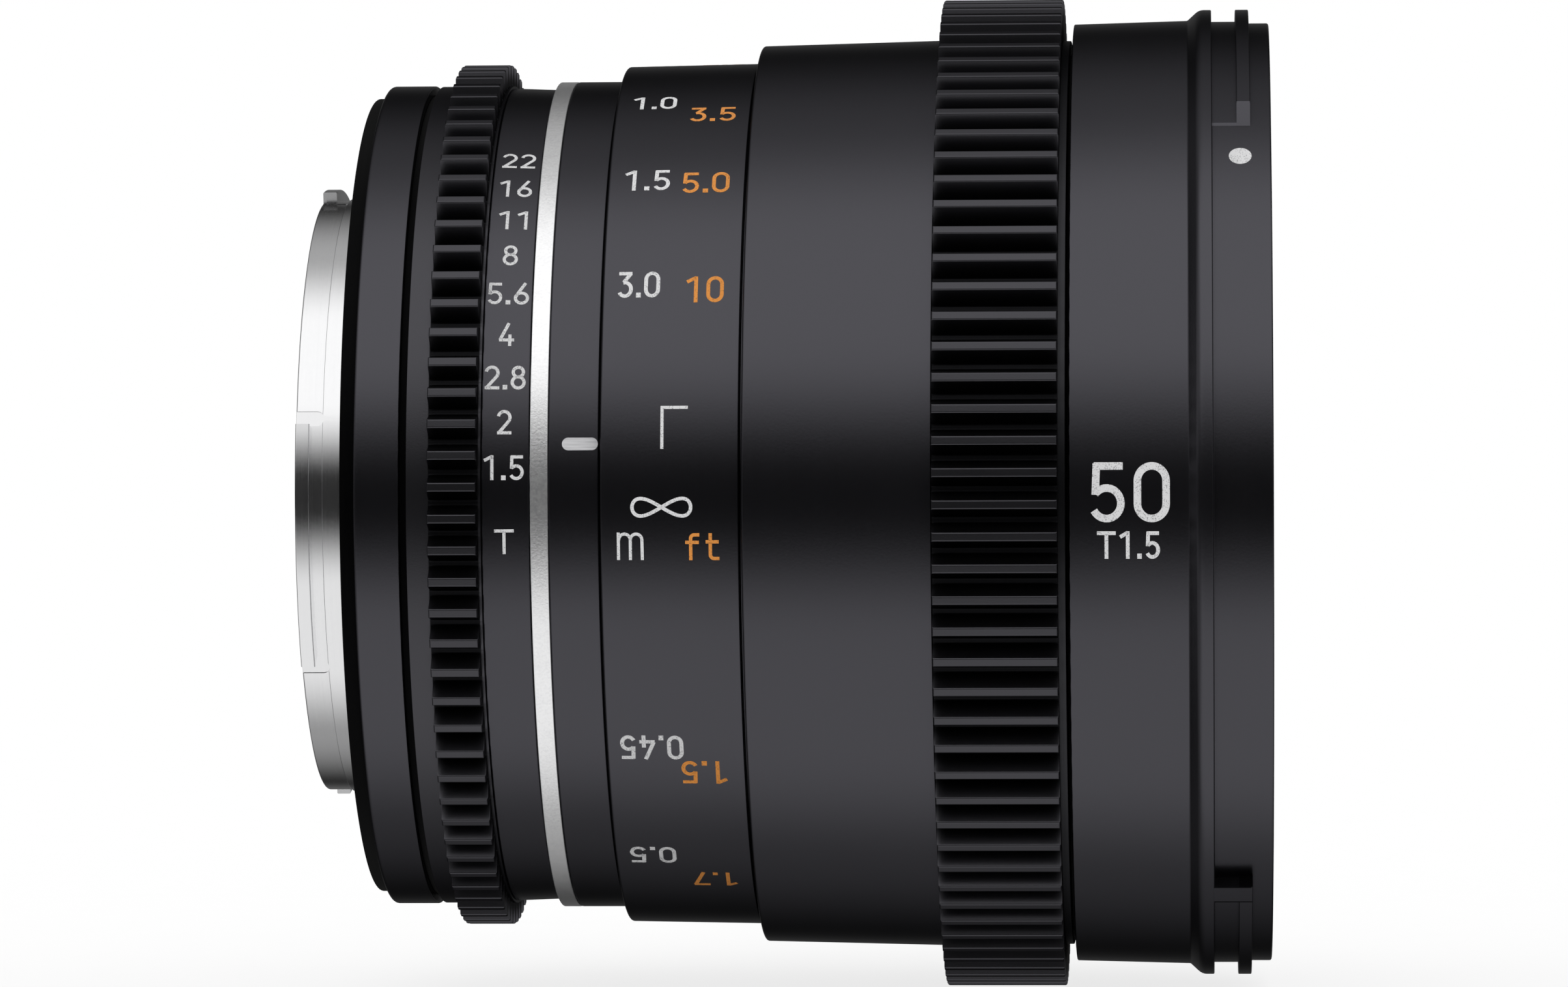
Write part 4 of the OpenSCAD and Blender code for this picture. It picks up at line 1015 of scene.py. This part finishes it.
# bar with round ends: its half width falls as a circle does within one half width of either end
def makeIndexBar(turn):
    b = indexBars
    reach = b["length"] / 2 - b["half"]
    a = np.linspace(0, math.pi / 2, 14)[1:]
    u = np.concatenate([-reach - b["half"] * np.cos(a), reach + b["half"] * np.sin(a)])
    w = np.concatenate([b["half"] * np.sin(a), b["half"] * np.cos(a)])
    w = np.maximum(w, 0.02)
    v = np.stack([-w, -w / 3, w / 3, w, w, -w], -1)
    lift = [b["edge"], b["crown"], b["crown"], b["edge"], b["sunk"], b["sunk"]]
    r = b["r"] + np.array(lift)[None, :]
    grid = around((b["x"] + u)[:, None] + 0 * v, r, math.radians(turn) + v / b["r"])
    last = 6 * (len(u) - 1)
    ends = np.array([[0, 1, 2, 5], [2, 3, 4, 5]])
    quads = np.concatenate([gridQuads(len(u), 6, False, True), ends[:, ::-1], ends + last])
    return outward(grid.reshape(-1, 3), quads)


addPiece("indexBars", joined(*[makeIndexBar(indexBars["turn"] + half) for half in (0, 180)]),
         brushedInlay, "barrel", ["index_marks"])

frontMarks = {
    "ends": (58.6, 68.1), "radii": (39.5, 39.75), "gap": 0.15,
    "rows": [("50", 63.43, 0.0, 6.40, 4.78, 0.125), ("T1.5", 63.34, -6.08, 5.0, 2.2, 0.135)],
    "dotX": 72.37, "dotTurn": 43.4, "dotR": 0.92, "noseR": 39.5, "dome": 0.03, "proud": 0.006, "sunk": -0.05,
}


# the dot is a low dome: its height falls with the square of the distance from its middle
def makeDot():
    f = frontMarks
    rho = np.concatenate([np.linspace(0, 1, 7), [1.0]])[:, None] * f["dotR"]
    a = np.linspace(0, 2 * math.pi, 40, endpoint=False)[None, :]
    lift = np.concatenate([f["dome"] * (1 - np.linspace(0, 1, 7) ** 2) + f["proud"], [f["sunk"]]])[:, None]
    x = f["dotX"] + rho * np.cos(a)
    middle = math.radians(f["dotTurn"])
    top = around(x, f["noseR"] + lift, middle + rho * np.sin(a) / f["noseR"])
    under = around(np.full((1, 40), f["dotX"]), f["noseR"] + f["sunk"], np.full((1, 40), middle))
    return outward(np.concatenate([top, under]).reshape(-1, 3), gridQuads(9, 40, False, True))


def makeFrontMarks():
    f = frontMarks
    shells = [makeDot()]
    for text, x, turn, width, height, weight in f["rows"]:
        shells += textShells(text, x, turn, width, height, f["ends"], f["radii"], weight, 1, f["gap"])
    return joined(*shells)


addPiece("frontFigures", makeFrontMarks(), whitePaint, "barrel")
print("figures made")

# stage: pale floor under the gear, white for the camera but with the shadow kept; in reflections the
# lower soft box shows instead of it
stageSpec = {
    "floorZ": -0.0417, "midX": 0.035, "half": 0.9, "pale": 0.82, "glow": 1.06, "glowShare": 0.75, "diffuse": 1.0,
}


def makeFloor():
    t = np.linspace(-1, 1, 9) * stageSpec["half"]
    gx, gy = np.meshgrid(t + stageSpec["midX"], t, indexing="ij")
    points = np.stack([gx, gy, np.full_like(gx, stageSpec["floorZ"])], -1).reshape(-1, 3)
    mesh = bpy.data.meshes.new("floor")
    mesh.from_pydata(points.tolist(), [], gridQuads(9, 9, False, False)[:, ::-1].tolist())
    floor = bpy.data.objects.new("floor", mesh)
    scene.collection.objects.link(floor)
    material = bpy.data.materials.new("paleFloor")
    material.use_nodes = True
    tree = material.node_tree
    tree.nodes.clear()
    start = Wire(tree)
    camera = start.node("ShaderNodeLightPath", None, None, "Is Camera Ray")
    glossy = start.node("ShaderNodeLightPath", None, None, "Is Glossy Ray")
    under = start.node("ShaderNodeNewGeometry", None, None, "Backfacing")
    fibre = start.node("ShaderNodeTexCoord", None, None, 3).grain(140, 3.0)
    pale = stageSpec["pale"] - 0.02 + 0.04 * fibre
    matt = start.node("ShaderNodeBsdfDiffuse", None, {"Color": pale})
    glow = start.node("ShaderNodeEmission", None, {"Color": grey(1), "Strength": stageSpec["glow"]})
    clear = start.node("ShaderNodeBsdfTransparent")
    seen = start.node("ShaderNodeMixShader", None, {0: stageSpec["glowShare"] * camera, 1: matt, 2: glow})
    whole = start.node("ShaderNodeMixShader", None, {0: under.larger(glossy), 1: seen, 2: clear})
    end = tree.nodes.new("ShaderNodeOutputMaterial")
    tree.links.new(whole.socket, end.inputs["Surface"])
    mesh.materials.append(material)


makeFloor()

# world: white to the camera and even for the shading; reflections see two soft boxes, one above and one
# below the camera, that thin out over the lens and leave a dark band level with it; a weaker pair behind
worldSpec = {
    "box": (6.6, 35), "thinOver": (70, 106), "thin": 0.36, "fadeOver": (106, 152), "dark": 0.022, "gain": 1.08,
    "under": 0.78, "level": (-0.1, 0.1), "back": 0.10, "backFrom": (150, 170),
    "side": (0.5, 0.88), "sideLevel": 0.42,
}


def makeWorld():
    world = bpy.data.worlds.new("studio")
    scene.world = world
    world.use_nodes = True
    tree = world.node_tree
    tree.nodes.clear()
    start = Wire(tree)
    camera = start.node("ShaderNodeLightPath", None, None, "Is Camera Ray")
    glossy = start.node("ShaderNodeLightPath", None, None, "Is Glossy Ray")
    clear = start.node("ShaderNodeLightPath", None, None, "Is Transmission Ray")
    way = start.node("ShaderNodeTexCoord", None, None, 3)
    w = worldSpec
    up = way.part(2)
    height = abs(start.calc("ARCTAN2", up, 0 - way.part(1))) * (180 / math.pi)
    box = height.rise(*w["box"]) * (1 - (1 - w["thin"]) * height.rise(*w["thinOver"]))
    box = box * (1 - height.rise(*w["fadeOver"]))
    behind = w["back"] * height.rise(*w["backFrom"])
    lower = 1 - (1 - w["under"]) * (0 - up).rise(*w["level"])
    aside = 1 - (1 - w["sideLevel"]) * abs(way.part(0)).rise(*w["side"])
    mirrored = w["gain"] * (w["dark"] + box.larger(behind) * lower * aside)
    shiny = glossy.larger(clear)
    level = camera + (1 - camera) * (shiny * mirrored + (1 - shiny) * stageSpec["diffuse"])
    sky = start.node("ShaderNodeBackground", None, {"Color": grey(1), "Strength": level})
    end = tree.nodes.new("ShaderNodeOutputWorld")
    tree.links.new(sky.socket, end.inputs["Surface"])


makeWorld()

# camera: long lens level with the axis, turned a little towards the mount, rolled a touch
cameraSpec = {
    "place": (0.0691, -0.6534, 0.0), "aim": (0.0338, 0.0, 0.0), "roll": 0.21,
    "sensor": 36, "focal": 36 * 11850 / 2408, "clip": (0.01, 20),
}


def makeCamera():
    c = cameraSpec
    data = bpy.data.cameras.new("camera")
    data.sensor_width = c["sensor"]
    data.lens = c["focal"]
    data.clip_start, data.clip_end = c["clip"]
    camera = bpy.data.objects.new("camera", data)
    scene.collection.objects.link(camera)
    turn = math.atan2(c["place"][0] - c["aim"][0], c["aim"][1] - c["place"][1])
    camera.location = c["place"]
    camera.rotation_mode = "XYZ"
    camera.rotation_euler = (math.pi / 2, math.radians(c["roll"]), turn)
    scene.camera = camera


makeCamera()
print("stage made")
